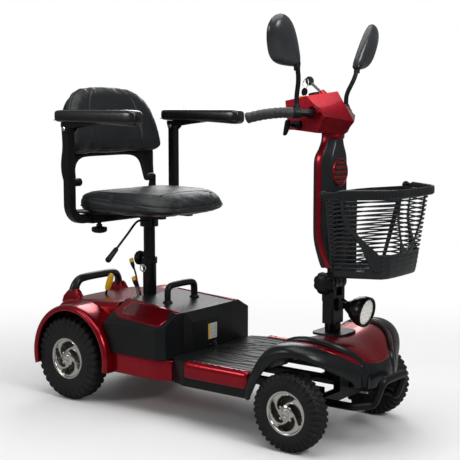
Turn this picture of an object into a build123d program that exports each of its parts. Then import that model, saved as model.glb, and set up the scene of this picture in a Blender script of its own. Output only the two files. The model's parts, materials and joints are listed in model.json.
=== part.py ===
"""Four-wheel mobility scooter, as separate pieces in one frame.

Millimetres. The origin is on the ground, on the centre plane, at mid length.
+X is forward, +Y is the rider's left and +Z is up.
"""

import os
from math import cos, radians, sin

from build123d import *

os.makedirs("parts", exist_ok=True)

SIDES = ((-1, "r"), (1, "l"))

# wheels
REAR_AXLE_X = -444
WHEELBASE = 780
FRONT_AXLE_X = REAR_AXLE_X + WHEELBASE
REAR_TYRE_R = 122
REAR_TYRE_W = 60
REAR_RIM_R = 60
REAR_WHEEL_Y = 188
FRONT_TYRE_R = 100
FRONT_TYRE_W = 55
FRONT_RIM_R = 56
FRONT_WHEEL_Y = 209
TYRE_ROUND = 13
RIM_WALL = 7
SHAFT_R = 10
STUB_R = 8
RUN_GAP = 0.05

# steering linkage
KINGPIN_Y = 158
STEER_ARM = 60
STEER_Z = 131.5
STEM_X = 327

# frame
POST_X = -309
RAIL_Y = 95
RAIL = 28
POST_OUTER_R = 20
POST_INNER_R = 17
CLAMP_Z = 402
PIN_Z = 384
POST_TOP_Z = 540
SEAT_TRAVEL = 75

# body
WALL = 3
BASE_REAR_X = -300
BASE_FRONT_X = -69
BASE_Z = 105
BASE_TOP_Z = 162
BODY_HALF = 200
FENDER_X = -422
FENDER_Z = 135
FENDER_R = 150
FENDER_HALF = 230
HUMP_HALF = 150
DECK_END_X = 201
DECK_HALF = 196
FLOOR_Z = 172
FREEWHEEL_X = -457
FREEWHEEL_Z = 208

# seat
PAN_Z = 545
CUSHION_Z = 551
CUSHION_TOP = 606
CUSHION_BACK_X = -436
CUSHION_FRONT_X = -111
CUSHION_HALF = 195
ARM_Y = 228
ARM_X = -406
ARM_TUBE = 25
ARM_TUBE_Z = 530
ARM_PIVOT_Z = 788
PAD_FRONT_X = -139
PAD_LENGTH = 300
PAD_WIDTH = 50
BACK_HINGE_X = -447
BACK_HINGE_Z = 632
BACK_LEAN = 12

# tiller
FOLD_X = 328
FOLD_Z = 399
BAR_X = 309
BAR_Z = 834
BAR_R = 10
GRIP_R = 13
BADGE_Z = 683

# tiller head: outline at its flanks and on the centre plane
HEAD_EDGE = [(224, 865), (288, 877), (343, 827), (321, 784), (233, 793)]
HEAD_RIDGE = [(224, 869), (334, 889), (384, 812), (358, 781), (233, 789)]
HEAD_HALF = 75
HEAD_SEAM_X = 284

# mirrors
MIRROR_X = 302
MIRROR_Y = 205
MIRROR_Z = 1010
MIRROR_YAW = 11
MIRROR_LEAN = 14
MIRROR_PIVOT_Y = 143.5
MIRROR_PIVOT_Z = 949

# battery box outlines: side view, plan and cross-section
BOX_PROFILE = [(-301, 163), (-68, 163), (-68, 256), (-84, 284), (-300, 301)]
BOX_PLAN = [(-301, 206), (-110, 206), (-86, 190), (-86, 112), (-68, 93)]
BOX_SECTION = [(-207, 163), (207, 163), (207, 244), (190, 258), (112, 300), (-112, 300), (-190, 258),
               (-207, 244)]

# basket: half outlines of the rim and the floor
BASKET_RIM = [(376, 0), (376, 60), (424, 195), (450, 177), (532, 112), (552, 92), (555, 0)]
BASKET_FLOOR = [(380, 0), (380, 60), (400, 126), (414, 128), (500, 96), (524, 86), (528, 0)]
RIM_Z = 640
BASKET_FLOOR_Z = 432
HANDLE_PIVOT_X = 424
HANDLE_PIVOT_Z = 643
HANDLE_EYE_Y = 203


def lathe_axis(x, z):
    """The axis of a wheel or pin that runs across the vehicle."""
    return Axis((x, 0, z), (0, 1, 0))


# ---------------------------------------------------------------- wheels


def make_tyre(name, side, x, z, mid_y, radius, width, rim_r):
    """A solid-profile tyre with rounded shoulders and three tread grooves."""
    height = radius - rim_r
    with BuildPart() as tyre:
        with BuildSketch(Plane.YZ.offset(x)):
            with Locations((side * mid_y, z + rim_r + height / 2)):
                RectangleRounded(width, height, TYRE_ROUND)
            with Locations([(side * mid_y + step * width / 4, z + radius) for step in (-1, 0, 1)]):
                Rectangle(3, 6, mode=Mode.SUBTRACT)
        revolve(axis=lathe_axis(x, z))
    tyre.part.label = name
    export_step(tyre.part, f"parts/{name}.step")


def make_rim(name, side, x, z, mid_y, width, rim_r, bore_r, shaft_to):
    """An alloy rim with four swept windows, its hub cap and, on the rear, its drive shaft.

    shaft_to is the inner end of the drive shaft, or None for a wheel that turns on a stub.
    """
    face_y = mid_y + width / 2 - 4
    hub_r = 20
    outward = Plane(origin=(x, side * face_y, z), x_dir=(1, 0, 0), z_dir=(0, side, 0))
    with BuildPart() as rim:
        with BuildSketch(outward):
            Circle(rim_r)
            Circle(rim_r - RIM_WALL, mode=Mode.SUBTRACT)
        extrude(amount=-(width - 8))
        with BuildSketch(outward.offset(-4)):
            Circle(rim_r - RIM_WALL / 2)
        extrude(amount=-8)
        with BuildSketch(outward.offset(-2)):
            Circle(hub_r)
        extrude(amount=-(width - 12))
        with BuildSketch(outward.offset(-4)):
            with PolarLocations(0, 4):
                with BuildLine():
                    root = ThreePointArc((24, -10), (26, 2), (20, 15))
                    outer = ThreePointArc(root @ 1, (40, 21), (rim_r - 9, -4))
                    ThreePointArc(outer @ 1, (40, -14), root @ 0)
                make_face()
        extrude(amount=-8, mode=Mode.SUBTRACT)
        with BuildSketch(outward.offset(-2)):
            Circle(bore_r)
        extrude(amount=-width, mode=Mode.SUBTRACT)
        with BuildSketch(outward.offset(-1.5)):
            Circle(hub_r - 3)
        extrude(amount=4)
        if shaft_to is not None:
            with BuildSketch(outward.offset(-2.5)):
                Circle(SHAFT_R)
            extrude(amount=-(face_y - 2.5 - shaft_to))
    rim.part.label = name
    export_step(rim.part, f"parts/{name}.step")


def make_wheels():
    for side, tag in SIDES:
        make_tyre(f"rear_tyre_{tag}", side, REAR_AXLE_X, REAR_TYRE_R, REAR_WHEEL_Y,
                  REAR_TYRE_R, REAR_TYRE_W, REAR_RIM_R)
        make_tyre(f"front_tyre_{tag}", side, FRONT_AXLE_X, FRONT_TYRE_R, FRONT_WHEEL_Y,
                  FRONT_TYRE_R, FRONT_TYRE_W, FRONT_RIM_R)
        make_rim(f"rear_rim_{tag}", side, REAR_AXLE_X, REAR_TYRE_R, REAR_WHEEL_Y,
                 REAR_TYRE_W, REAR_RIM_R, SHAFT_R, 60)
        make_rim(f"front_rim_{tag}", side, FRONT_AXLE_X, FRONT_TYRE_R, FRONT_WHEEL_Y,
                 FRONT_TYRE_W, FRONT_RIM_R, STUB_R + RUN_GAP, None)


# ---------------------------------------------------------------- front axle and steering


def make_knuckles():
    """A C-shaped knuckle round each kingpin sleeve, with a stub axle and a steering arm."""
    for side, tag in SIDES:
        with BuildPart() as knuckle:
            with BuildSketch(Plane.XY.offset(125.5)):
                with Locations((FRONT_AXLE_X, side * (KINGPIN_Y + 4))):
                    RectangleRounded(30, 36, 8)
                with Locations((FRONT_AXLE_X - STEER_ARM / 2, side * KINGPIN_Y)):
                    SlotCenterToCenter(STEER_ARM, 16)
                with Locations((FRONT_AXLE_X - STEER_ARM, side * KINGPIN_Y)):
                    Circle(3.1, mode=Mode.SUBTRACT)
            extrude(amount=5.5)
            with BuildSketch(Plane.XY.offset(69)):
                with Locations((FRONT_AXLE_X, side * (KINGPIN_Y + 4))):
                    RectangleRounded(30, 36, 8)
            extrude(amount=5.5)
            with BuildSketch(Plane.XY.offset(69)):
                with Locations((FRONT_AXLE_X, side * (KINGPIN_Y + 19))):
                    Rectangle(30, 6)
            extrude(amount=62)
            with BuildSketch(Plane.XY.offset(70)):
                with Locations((FRONT_AXLE_X, side * KINGPIN_Y)):
                    Circle(STUB_R)
            extrude(amount=60)
            stub = Plane(origin=(FRONT_AXLE_X, side * (KINGPIN_Y + 20), FRONT_TYRE_R),
                         z_dir=(0, side, 0))
            with BuildSketch(stub):
                Circle(STUB_R)
            extrude(amount=52)
        knuckle.part.label = f"knuckle_{tag}"
        export_step(knuckle.part, f"parts/knuckle_{tag}.step")


def make_tie_rod():
    """The rod between the steering arms, with a centre lug for the column's pitman arm."""
    rod_x = FRONT_AXLE_X - STEER_ARM
    lug_x = STEM_X - STEER_ARM
    with BuildPart() as tie_rod:
        with BuildSketch(Plane.XY.offset(STEER_Z)):
            with Locations((rod_x, 0)):
                SlotCenterToCenter(2 * KINGPIN_Y, 14, rotation=90)
            with Locations((lug_x, 0)):
                Circle(10)
        extrude(amount=6)
        with BuildSketch(Plane.XY.offset(STEER_Z + 3)):
            with Locations((rod_x, KINGPIN_Y), (rod_x, -KINGPIN_Y)):
                Circle(3)
        extrude(amount=-12)
        with BuildSketch(Plane.XY.offset(STEER_Z)):
            with Locations((lug_x, 0)):
                Circle(3.6)
        extrude(amount=6, mode=Mode.SUBTRACT)
    tie_rod.part.label = "tie_rod"
    export_step(tie_rod.part, "parts/tie_rod.step")


def make_steer_column():
    """Lower column: pitman arm, shaft, lamp bracket box and the fork of the folding hinge."""
    with BuildPart() as column:
        with BuildSketch(Plane.XY.offset(STEER_Z + 7)):
            with Locations((STEM_X - STEER_ARM / 2, 0)):
                SlotCenterToCenter(STEER_ARM, 20)
        extrude(amount=6)
        with BuildSketch(Plane.XY.offset(STEER_Z + 7)):
            with Locations((STEM_X - STEER_ARM, 0)):
                Circle(3.3)
        extrude(amount=-6.5)
        with BuildSketch(Plane.XY.offset(STEER_Z + 7)):
            with Locations((STEM_X, 0)):
                Circle(15)
        extrude(amount=152)
        with BuildSketch(Plane.XY.offset(270)):
            with Locations((STEM_X, 0)):
                Circle(21)
        extrude(amount=22)
        with BuildSketch(Plane.XY.offset(290)):
            with Locations((STEM_X, 0)):
                RectangleRounded(36, 54, 6)
        extrude(amount=72)
        with BuildSketch(Plane.XZ.offset(-27)):
            with Locations((FOLD_X, FOLD_Z)):
                Circle(24)
            with Locations((FOLD_X, FOLD_Z - 25)):
                Rectangle(36, 50)
        extrude(amount=54)
        with BuildSketch(Plane.XZ.offset(-14)):
            with Locations((FOLD_X, FOLD_Z)):
                Circle(40)
        extrude(amount=28, mode=Mode.SUBTRACT)
        with BuildSketch(Plane.XZ.offset(-27)):
            with Locations((FOLD_X, FOLD_Z)):
                Circle(6)
        extrude(amount=84)
        with BuildSketch(Plane.XZ.offset(-12)):
            with BuildLine():
                Polyline((STEM_X + 17, 322), (STEM_X + 17, 360), (STEM_X + 38, 348),
                         (STEM_X + 38, 332), close=True)
            make_face()
        extrude(amount=24)
        with BuildSketch(Plane.XZ.offset(-7)):
            with Locations((STEM_X + 31, 340)):
                Circle(16)
        extrude(amount=14, mode=Mode.SUBTRACT)
        with BuildSketch(Plane.XZ.offset(-12)):
            with Locations((STEM_X + 31, 340)):
                Circle(3)
        extrude(amount=24)
    column.part.label = "steer_column"
    export_step(column.part, "parts/steer_column.step")


def make_fold_knob():
    """Eight-sided clamping knob on the hinge bolt."""
    with BuildPart() as knob:
        with BuildSketch(Plane.XZ.offset(28)):
            with Locations((FOLD_X, FOLD_Z)):
                Circle(14)
        extrude(amount=14)
        with BuildSketch(Plane.XZ.offset(41)):
            with Locations((FOLD_X, FOLD_Z)):
                RegularPolygon(30, 8, rotation=22.5)
        extrude(amount=20)
        fillet(knob.edges().group_by(Axis.Y)[0], 4)
        with BuildSketch(Plane.XZ.offset(27)):
            with Locations((FOLD_X, FOLD_Z)):
                Circle(6 + RUN_GAP)
        extrude(amount=31, mode=Mode.SUBTRACT)
    knob.part.label = "fold_knob"
    export_step(knob.part, "parts/fold_knob.step")


def make_headlight():
    """Cone-shaped lamp on a tab between the bracket's ears, with its lens in the rim."""
    pivot_x = STEM_X + 31
    droop = radians(10)
    lamp = Plane(origin=(pivot_x + 12, 0, 338), x_dir=(0, 1, 0), z_dir=(cos(droop), 0, -sin(droop)))
    with BuildPart() as headlight:
        with BuildSketch(Plane.XZ.offset(-6.5)):
            with Locations((pivot_x, 340)):
                Circle(9)
            with Locations((pivot_x + 9, 339)):
                Rectangle(18, 16)
            with Locations((pivot_x, 340)):
                Circle(3 + RUN_GAP, mode=Mode.SUBTRACT)
        extrude(amount=13)
        with BuildSketch(lamp):
            Circle(13)
        with BuildSketch(lamp.offset(38)):
            Circle(33)
        loft()
        with BuildSketch(lamp.offset(38)):
            Circle(35)
        extrude(amount=20)
        with BuildSketch(lamp.offset(50)):
            Circle(31)
        extrude(amount=8, mode=Mode.SUBTRACT)
        with BuildSketch(lamp.offset(51)):
            Circle(31)
        extrude(amount=4)
    headlight.part.label = "headlight"
    export_step(headlight.part, "parts/headlight.step")


# ---------------------------------------------------------------- frames and drive


def make_rear_frame():
    """Rear rails, cross members, axle saddles, seat post socket and the freewheel lever's stud."""
    with BuildPart() as frame:
        with BuildSketch(Plane.XY.offset(112)):
            with Locations((-203, RAIL_Y), (-203, -RAIL_Y)):
                Rectangle(252, RAIL)
            with Locations((-86, 0)):
                Rectangle(12, 2 * RAIL_Y + RAIL)
        extrude(amount=RAIL)
        with BuildSketch(Plane.XY.offset(150)):
            with Locations((-408, RAIL_Y), (-408, -RAIL_Y)):
                Rectangle(194, RAIL)
            with Locations((-499, 0)):
                Rectangle(12, 2 * RAIL_Y + RAIL)
        extrude(amount=RAIL)
        with BuildSketch(Plane.XY.offset(112)):
            with Locations((-320, RAIL_Y), (-320, -RAIL_Y)):
                Rectangle(18, RAIL)
        extrude(amount=66)
        with BuildSketch(Plane.XY.offset(112)):
            with Locations((POST_X, 0)):
                Rectangle(44, 2 * RAIL_Y + RAIL)
        extrude(amount=12)
        with BuildSketch(Plane.XZ.offset(RAIL_Y + 10)):
            with Locations((REAR_AXLE_X, 137)):
                Rectangle(52, 30)
        extrude(amount=-20)
        with BuildSketch(Plane.XZ.offset(-RAIL_Y + 10)):
            with Locations((REAR_AXLE_X, 137)):
                Rectangle(52, 30)
        extrude(amount=-20)
        with BuildSketch(Plane.XZ.offset(-150)):
            with Locations((REAR_AXLE_X, REAR_TYRE_R)):
                Circle(18)
        extrude(amount=300, mode=Mode.SUBTRACT)
        with BuildSketch(Plane.XY.offset(112)):
            with Locations((POST_X, 0)):
                Circle(POST_OUTER_R)
        extrude(amount=296)
        collar = Plane.XY.offset(390)
        with BuildSketch(collar):
            with Locations((POST_X, 0)):
                Circle(POST_OUTER_R + 3)
        extrude(amount=18)
        boss = Plane(origin=(POST_X - POST_INNER_R - 1, 0, CLAMP_Z), z_dir=(-1, 0, 0))
        with BuildSketch(boss):
            Circle(9)
        extrude(amount=14)
        pin_boss = Plane(origin=(POST_X, -POST_INNER_R - 1, PIN_Z), z_dir=(0, -1, 0))
        with BuildSketch(pin_boss):
            Circle(8)
        extrude(amount=8)
        with BuildSketch(collar.offset(18)):
            with Locations((POST_X, 0)):
                Circle(POST_INNER_R + RUN_GAP)
        extrude(amount=-290, mode=Mode.SUBTRACT)
        with BuildSketch(boss):
            Circle(4 + RUN_GAP)
        extrude(amount=20, both=True, mode=Mode.SUBTRACT)
        with BuildSketch(pin_boss):
            Circle(4 + RUN_GAP)
        extrude(amount=16, both=True, mode=Mode.SUBTRACT)
        with BuildSketch(Plane.XZ.offset(28)):
            with BuildLine():
                Polyline((-505, 165), (-494, 165), (-494, 176), (FREEWHEEL_X + 9, 200),
                         (FREEWHEEL_X + 9, FREEWHEEL_Z + 8), (FREEWHEEL_X - 9, FREEWHEEL_Z + 8),
                         (-505, 180), close=True)
            make_face()
        extrude(amount=4)
        with BuildSketch(Plane.XZ.offset(28)):
            with Locations((FREEWHEEL_X, FREEWHEEL_Z)):
                Circle(4)
        extrude(amount=18)
    frame.part.label = "rear_frame"
    export_step(frame.part, "parts/rear_frame.step")


def make_transaxle():
    """Gear case with its axle tubes, and the drive motor with its brake drum."""
    with BuildPart() as transaxle:
        with BuildSketch(Plane.XZ.offset(-50)):
            with Locations((REAR_AXLE_X, REAR_TYRE_R)):
                Circle(52)
            with Locations((-380, 122)):
                Circle(38)
            with Locations((-412, 122)):
                Rectangle(64, 60)
        extrude(amount=70)
        with BuildSketch(Plane.XZ.offset(-140)):
            with Locations((REAR_AXLE_X, REAR_TYRE_R)):
                Circle(18)
        extrude(amount=280)
        with BuildSketch(Plane.XZ.offset(20)):
            with Locations((-382, 111)):
                Circle(36)
        extrude(amount=104)
        with BuildSketch(Plane.XZ.offset(124)):
            with Locations((-382, 111)):
                Circle(28)
        extrude(amount=14)
        with BuildSketch(Plane.XZ.offset(-140)):
            with Locations((REAR_AXLE_X, REAR_TYRE_R)):
                Circle(SHAFT_R + RUN_GAP)
        extrude(amount=82, mode=Mode.SUBTRACT)
        with BuildSketch(Plane.XZ.offset(140)):
            with Locations((REAR_AXLE_X, REAR_TYRE_R)):
                Circle(SHAFT_R + RUN_GAP)
        extrude(amount=-82, mode=Mode.SUBTRACT)
    transaxle.part.label = "transaxle"
    export_step(transaxle.part, "parts/transaxle.step")


def make_front_frame():
    """Deck rails, axle beam with kingpin sleeves, head tube and its flange."""
    with BuildPart() as frame:
        with BuildSketch(Plane.XY.offset(108)):
            with Locations((135, 60), (135, -60)):
                Rectangle(400, 24)
            with Locations((-60, 0)):
                Rectangle(12, 2 * RAIL_Y + RAIL)
            with Locations((60, 0)):
                Rectangle(24, 340)
        extrude(amount=20)
        with BuildSketch(Plane.XZ.offset(-(KINGPIN_Y - 8))):
            with Locations((FRONT_AXLE_X, FRONT_TYRE_R)):
                Circle(13)
        extrude(amount=2 * (KINGPIN_Y - 8))
        with BuildSketch(Plane.XY.offset(75)):
            with Locations((FRONT_AXLE_X, KINGPIN_Y), (FRONT_AXLE_X, -KINGPIN_Y)):
                Circle(14)
        extrude(amount=50)
        with BuildSketch(Plane.XY.offset(75)):
            with Locations((FRONT_AXLE_X, KINGPIN_Y), (FRONT_AXLE_X, -KINGPIN_Y)):
                Circle(STUB_R + RUN_GAP)
        extrude(amount=50, mode=Mode.SUBTRACT)
        with BuildSketch(Plane.XY.offset(92)):
            with Locations((STEM_X + 28, 0)):
                Rectangle(20, 214)
        extrude(amount=24)
        with BuildSketch(Plane.XY.offset(92)):
            with Locations((STEM_X + 28, 0)):
                Rectangle(20, 44)
        extrude(amount=150)
        with BuildSketch(Plane.XY.offset(150)):
            with Locations((STEM_X, 0)):
                Circle(20)
        extrude(amount=112)
        with BuildSketch(Plane.XY.offset(262)):
            with Locations((STEM_X + 5, 0)):
                RectangleRounded(90, 96, 20)
        extrude(amount=6)
        with BuildSketch(Plane.XY.offset(148)):
            with Locations((STEM_X, 0)):
                Circle(15 + RUN_GAP)
        extrude(amount=122, mode=Mode.SUBTRACT)
    frame.part.label = "front_frame"
    export_step(frame.part, "parts/front_frame.step")


def make_bumper():
    """Bent steel tube in front of the nose."""
    half = 58
    with BuildPart() as bumper:
        with BuildLine() as path:
            FilletPolyline((365.6, -96, 104), (448, -92, 104), (486, -half, 108), (511, -half, 172),
                           (511, half, 172), (486, half, 108), (448, 92, 104), (365.6, 96, 104), radius=16)
        with BuildSketch(Plane(origin=path.wires()[0] @ 0, z_dir=path.wires()[0] % 0)):
            Circle(10)
        sweep(path=path.wires()[0])
    bumper.part.label = "bumper"
    export_step(bumper.part, "parts/bumper.step")


def make_freewheel_lever():
    """Yellow hand lever that lets the motor freewheel."""
    with BuildPart() as lever:
        with BuildSketch(Plane.XZ.offset(36)):
            with BuildLine():
                Polyline((-463, 214), (-451, 214), (-436, 300), (-424, 344), (-438, 350), (-452, 302),
                         close=True)
            make_face()
            with Locations((FREEWHEEL_X, FREEWHEEL_Z)):
                Circle(12)
                Circle(4 + RUN_GAP, mode=Mode.SUBTRACT)
        extrude(amount=9)
        with BuildSketch(Plane.XZ.offset(31)):
            with BuildLine():
                Polyline((-446, 304), (-432, 302), (-420, 348), (-438, 354), close=True)
            make_face()
        extrude(amount=19)
    lever.part.label = "freewheel_lever"
    export_step(lever.part, "parts/freewheel_lever.step")


def make_controller():
    """Sealed speed controller that stands on the rails."""
    with BuildPart() as controller:
        with BuildSketch(Plane.XY.offset(180)):
            with Locations((-400, 84)):
                RectangleRounded(120, 90, 6)
        extrude(amount=48)
    controller.part.label = "controller"
    export_step(controller.part, "parts/controller.step")


# ---------------------------------------------------------------- body shells


def make_rear_cover():
    """Rear hump, wheel arches and the tray that carries the battery box."""
    hump = [(-570, 176), (-552, 252), (-520, 280), (-303, 294), (-303, 150), (-340, 150), (-355, 172)]
    hump_in = [(-567, 174), (-549, 250), (-518, 277), (-306, 291), (-306, 140), (-600, 140)]
    with BuildPart() as cover:
        with BuildSketch(Plane.XZ.offset(-HUMP_HALF)):
            with BuildLine():
                Polyline(*hump, close=True)
            make_face()
        extrude(amount=2 * HUMP_HALF)
        with BuildSketch(Plane.XZ.offset(-(HUMP_HALF - WALL))):
            with BuildLine():
                Polyline(*hump_in, close=True)
            make_face()
        extrude(amount=2 * (HUMP_HALF - WALL), mode=Mode.SUBTRACT)
        for side, _ in SIDES:
            inner = Plane.XZ.offset(-side * (HUMP_HALF - 0.5))
            outer = Plane.XZ.offset(-side * (FENDER_HALF - WALL))
            depth = side * (HUMP_HALF - 0.5 - FENDER_HALF)
            with BuildSketch(inner):
                with Locations((FENDER_X, FENDER_Z)):
                    Circle(FENDER_R)
                    Circle(FENDER_R - WALL, mode=Mode.SUBTRACT)
                with Locations((FENDER_X, BASE_Z - 95)):
                    Rectangle(400, 220, mode=Mode.SUBTRACT)
            extrude(amount=depth)
            with BuildSketch(outer):
                with Locations((FENDER_X, FENDER_Z)):
                    Circle(FENDER_R)
                    Circle(FENDER_R - 18, mode=Mode.SUBTRACT)
                with Locations((FENDER_X, BASE_Z - 95)):
                    Rectangle(400, 220, mode=Mode.SUBTRACT)
            extrude(amount=-side * WALL)
        with BuildSketch(Plane.XY.offset(BASE_Z)):
            with BuildLine():
                Polyline((BASE_REAR_X, -BODY_HALF), (-107, -BODY_HALF), (BASE_FRONT_X, -180),
                         (BASE_FRONT_X, 180), (-107, BODY_HALF), (BASE_REAR_X, BODY_HALF), close=True)
            make_face()
        extrude(amount=BASE_TOP_Z - BASE_Z)
        with BuildSketch(Plane.XY.offset(BASE_Z + WALL)):
            with BuildLine():
                Polyline((BASE_REAR_X + WALL, -BODY_HALF + WALL), (-108, -BODY_HALF + WALL),
                         (BASE_FRONT_X - WALL, -178), (BASE_FRONT_X - WALL, 178),
                         (-108, BODY_HALF - WALL), (BASE_REAR_X + WALL, BODY_HALF - WALL), close=True)
            make_face()
        extrude(amount=BASE_TOP_Z, mode=Mode.SUBTRACT)
        with BuildSketch(Plane.XY.offset(160)):
            with Locations((-303, 0)):
                Rectangle(6, 2 * HUMP_HALF)
        extrude(amount=-20)
        with BuildSketch(Plane.XY.offset(90)):
            with Locations((-330, 0)):
                Rectangle(90, 260)
        extrude(amount=96, mode=Mode.SUBTRACT)
        with BuildSketch(Plane.XY.offset(109)):
            with Locations((-60, 0)):
                Rectangle(40, 240)
        extrude(amount=60, mode=Mode.SUBTRACT)
        with BuildSketch(Plane.XY.offset(180)):
            with Locations((POST_X, 0)):
                Circle(POST_OUTER_R + 2)
            with Locations((-440, -40)):
                RectangleRounded(90, 26, 4)
        extrude(amount=140, mode=Mode.SUBTRACT)
    cover.part.label = "rear_cover"
    export_step(cover.part, "parts/rear_cover.step")


def make_rear_handle():
    """Lift handle behind the seat, with its two feet on the hump."""
    with BuildPart() as handle:
        with BuildLine() as path:
            FilletPolyline((-522, -100, 281), (-522, -84, 334), (-522, 84, 334), (-522, 100, 281), radius=18)
        with BuildSketch(Plane(origin=path.wires()[0] @ 0, z_dir=path.wires()[0] % 0)):
            Circle(9)
        sweep(path=path.wires()[0])
        with BuildSketch(Plane.XZ.offset(-114)):
            with BuildLine():
                Polyline((-545, 268), (-519, 280.2), (-490, 282.2), (-506, 300), (-536, 298), close=True)
            make_face()
        extrude(amount=28)
        with BuildSketch(Plane.XZ.offset(86)):
            with BuildLine():
                Polyline((-545, 268), (-519, 280.2), (-490, 282.2), (-506, 300), (-536, 298), close=True)
            make_face()
        extrude(amount=28)
        with BuildSketch(Plane.XZ.offset(-HUMP_HALF)):
            with BuildLine():
                Polyline((-570, 176), (-552, 252), (-520, 280), (-303, 294), (-303, 150), (-560, 150),
                         close=True)
            make_face()
        extrude(amount=2 * HUMP_HALF, mode=Mode.SUBTRACT)
    handle.part.label = "rear_handle"
    export_step(handle.part, "parts/rear_handle.step")


def make_foot_deck():
    """Black floor tray between the battery box and the front fairing."""
    with BuildPart() as deck:
        with BuildSketch(Plane.XY.offset(BASE_Z)):
            with BuildLine():
                Polyline((-67, -178), (-20, -DECK_HALF), (DECK_END_X, -DECK_HALF), (DECK_END_X, DECK_HALF),
                         (-20, DECK_HALF), (-67, 178), close=True)
            make_face()
        extrude(amount=FLOOR_Z - BASE_Z)
        with BuildSketch(Plane.XY.offset(BASE_Z)):
            with BuildLine():
                Polyline((-80, -174), (-20, -192), (DECK_END_X + 10, -192), (DECK_END_X + 10, 192),
                         (-20, 192), (-80, 174), close=True)
            make_face()
        extrude(amount=FLOOR_Z - BASE_Z - 4, mode=Mode.SUBTRACT)
        with BuildSketch(Plane.XY.offset(FLOOR_Z)):
            with GridLocations(0, 42, 1, 7):
                with Locations((70, 0)):
                    SlotOverall(180, 5)
        extrude(amount=-1.5, mode=Mode.SUBTRACT)
    deck.part.label = "foot_deck"
    export_step(deck.part, "parts/foot_deck.step")


def make_deck_trim():
    """Red side strips of the deck, one on each side."""
    with BuildPart() as trim:
        for side, _ in SIDES:
            with BuildSketch(Plane.YZ.offset(-12)):
                with BuildLine():
                    Polyline((side * DECK_HALF, 126), (side * 204, 130), (side * 204, 168), (side * 201, 177),
                             (side * 197, 178), (side * DECK_HALF, FLOOR_Z), close=True)
                make_face()
            extrude(amount=212)
    trim.part.label = "deck_trim"
    export_step(trim.part, "parts/deck_trim.step")


def fairing_profile(grow):
    """The fairing's side outline, grown outward by a wall."""
    low = 60
    return [(202 + grow, low), (202 + grow, 172 - grow), (240 + grow, 236 - grow), (290, 258 - grow),
            (372, 260 - grow), (412, 250 - grow), (450, 232 - grow), (474 - grow, 214 - grow),
            (480 - grow, 146), (440, 132), (420, low)]


def fairing_plan(grow):
    """The fairing's outline seen from above."""
    half = [(202 - grow, 238 - grow), (345, 238 - grow), (400, 222 - grow), (432, 190 - grow),
            (478 - grow, 62 - grow), (482 - grow, 0)]
    return half + [(x, -y) for x, y in reversed(half[:-1])]


def fairing_solid(wall):
    """The fairing as one hollow shell, open below, with both wheel arches cut out."""
    with BuildPart() as shell:
        for grow, mode in ((0, Mode.ADD), (wall, Mode.SUBTRACT)):
            with BuildPart(mode=Mode.PRIVATE) as body:
                with BuildSketch(Plane.XZ.offset(-260)):
                    with BuildLine():
                        Polyline(*fairing_profile(grow), close=True)
                    make_face()
                extrude(amount=520)
                with BuildSketch(Plane.XY.offset(40 - grow)):
                    with BuildLine():
                        Polyline(*fairing_plan(grow), close=True)
                    make_face()
                extrude(amount=300, mode=Mode.INTERSECT)
            add(body.part, mode=mode)
    return shell.part


def make_fairing_and_hood():
    """Black fairing over the front wheels and the red hood set into its top."""
    hood_half = [(340, 46), (366, 60), (384, 150), (420, 168), (440, 150), (468, 52), (474, 30)]
    plan = hood_half + [(x, -y) for x, y in reversed(hood_half)]
    shell = fairing_solid(WALL)
    with BuildPart() as fairing:
        add(shell)
        for side, _ in SIDES:
            with BuildSketch(Plane.XZ.offset(-side * 100)):
                with BuildLine():
                    Polyline((204, 20), (218, 110), (238, 168), (262, 214), (300, 238), (344, 246),
                             (390, 232), (430, 190), (500, 176), (500, 20), close=True)
                make_face()
            extrude(amount=-side * 200, mode=Mode.SUBTRACT)
        with BuildSketch(Plane.XY.offset(20)):
            with Locations((350, 0)):
                Rectangle(330, 220)
        extrude(amount=122, mode=Mode.SUBTRACT)
        with BuildSketch(Plane.XY.offset(190)):
            with BuildLine():
                Polyline(*plan, close=True)
            make_face()
            with Locations((STEM_X, 0)):
                Circle(24)
        extrude(amount=120, mode=Mode.SUBTRACT)
    fairing.part.label = "front_fairing"
    export_step(fairing.part, "parts/front_fairing.step")
    with BuildPart() as hood:
        with BuildSketch(Plane.XY.offset(190)):
            with BuildLine():
                Polyline(*plan, close=True)
            make_face()
            offset(amount=-0.3)
            with Locations((STEM_X, 0)):
                Circle(24.3, mode=Mode.SUBTRACT)
        extrude(amount=120)
        add(shell, mode=Mode.INTERSECT)
    hood.part.label = "front_hood"
    export_step(hood.part, "parts/front_hood.step")


# ---------------------------------------------------------------- battery module


def battery_solid(inset):
    """The battery box's outer form, or its inner form when inset is the wall."""
    plan = [(x - inset, y - inset) for x, y in BOX_PLAN]
    plan[0] = (BOX_PLAN[0][0] + inset, BOX_PLAN[0][1] - inset)
    with BuildPart() as body:
        with BuildSketch(Plane.XY.offset(150)):
            with BuildLine():
                Polyline(*plan, *[(x, -y) for x, y in reversed(plan)], close=True)
            make_face()
        extrude(amount=200)
        with BuildSketch(Plane.XZ.offset(-260)):
            with BuildLine():
                Polyline(*[(x, z - (inset if z > 200 else 0)) for x, z in BOX_PROFILE], close=True)
            make_face()
        extrude(amount=520, mode=Mode.INTERSECT)
        with BuildSketch(Plane.YZ.offset(-340)):
            with BuildLine():
                Polyline(*[(y, z - (inset if z > 200 else 0)) for y, z in BOX_SECTION], close=True)
            make_face()
        extrude(amount=400, mode=Mode.INTERSECT)
        for side, _ in SIDES:
            with BuildSketch(Plane.XZ.offset(-side * 146)):
                with Locations((FENDER_X, FENDER_Z)):
                    Circle(FENDER_R + 2 + inset)
            extrude(amount=-side * 100, mode=Mode.SUBTRACT)
        with BuildSketch(Plane.XY.offset(150)):
            with Locations((POST_X, 0)):
                Circle(POST_OUTER_R + 5 + inset)
        extrude(amount=200, mode=Mode.SUBTRACT)
    return body.part


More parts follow.
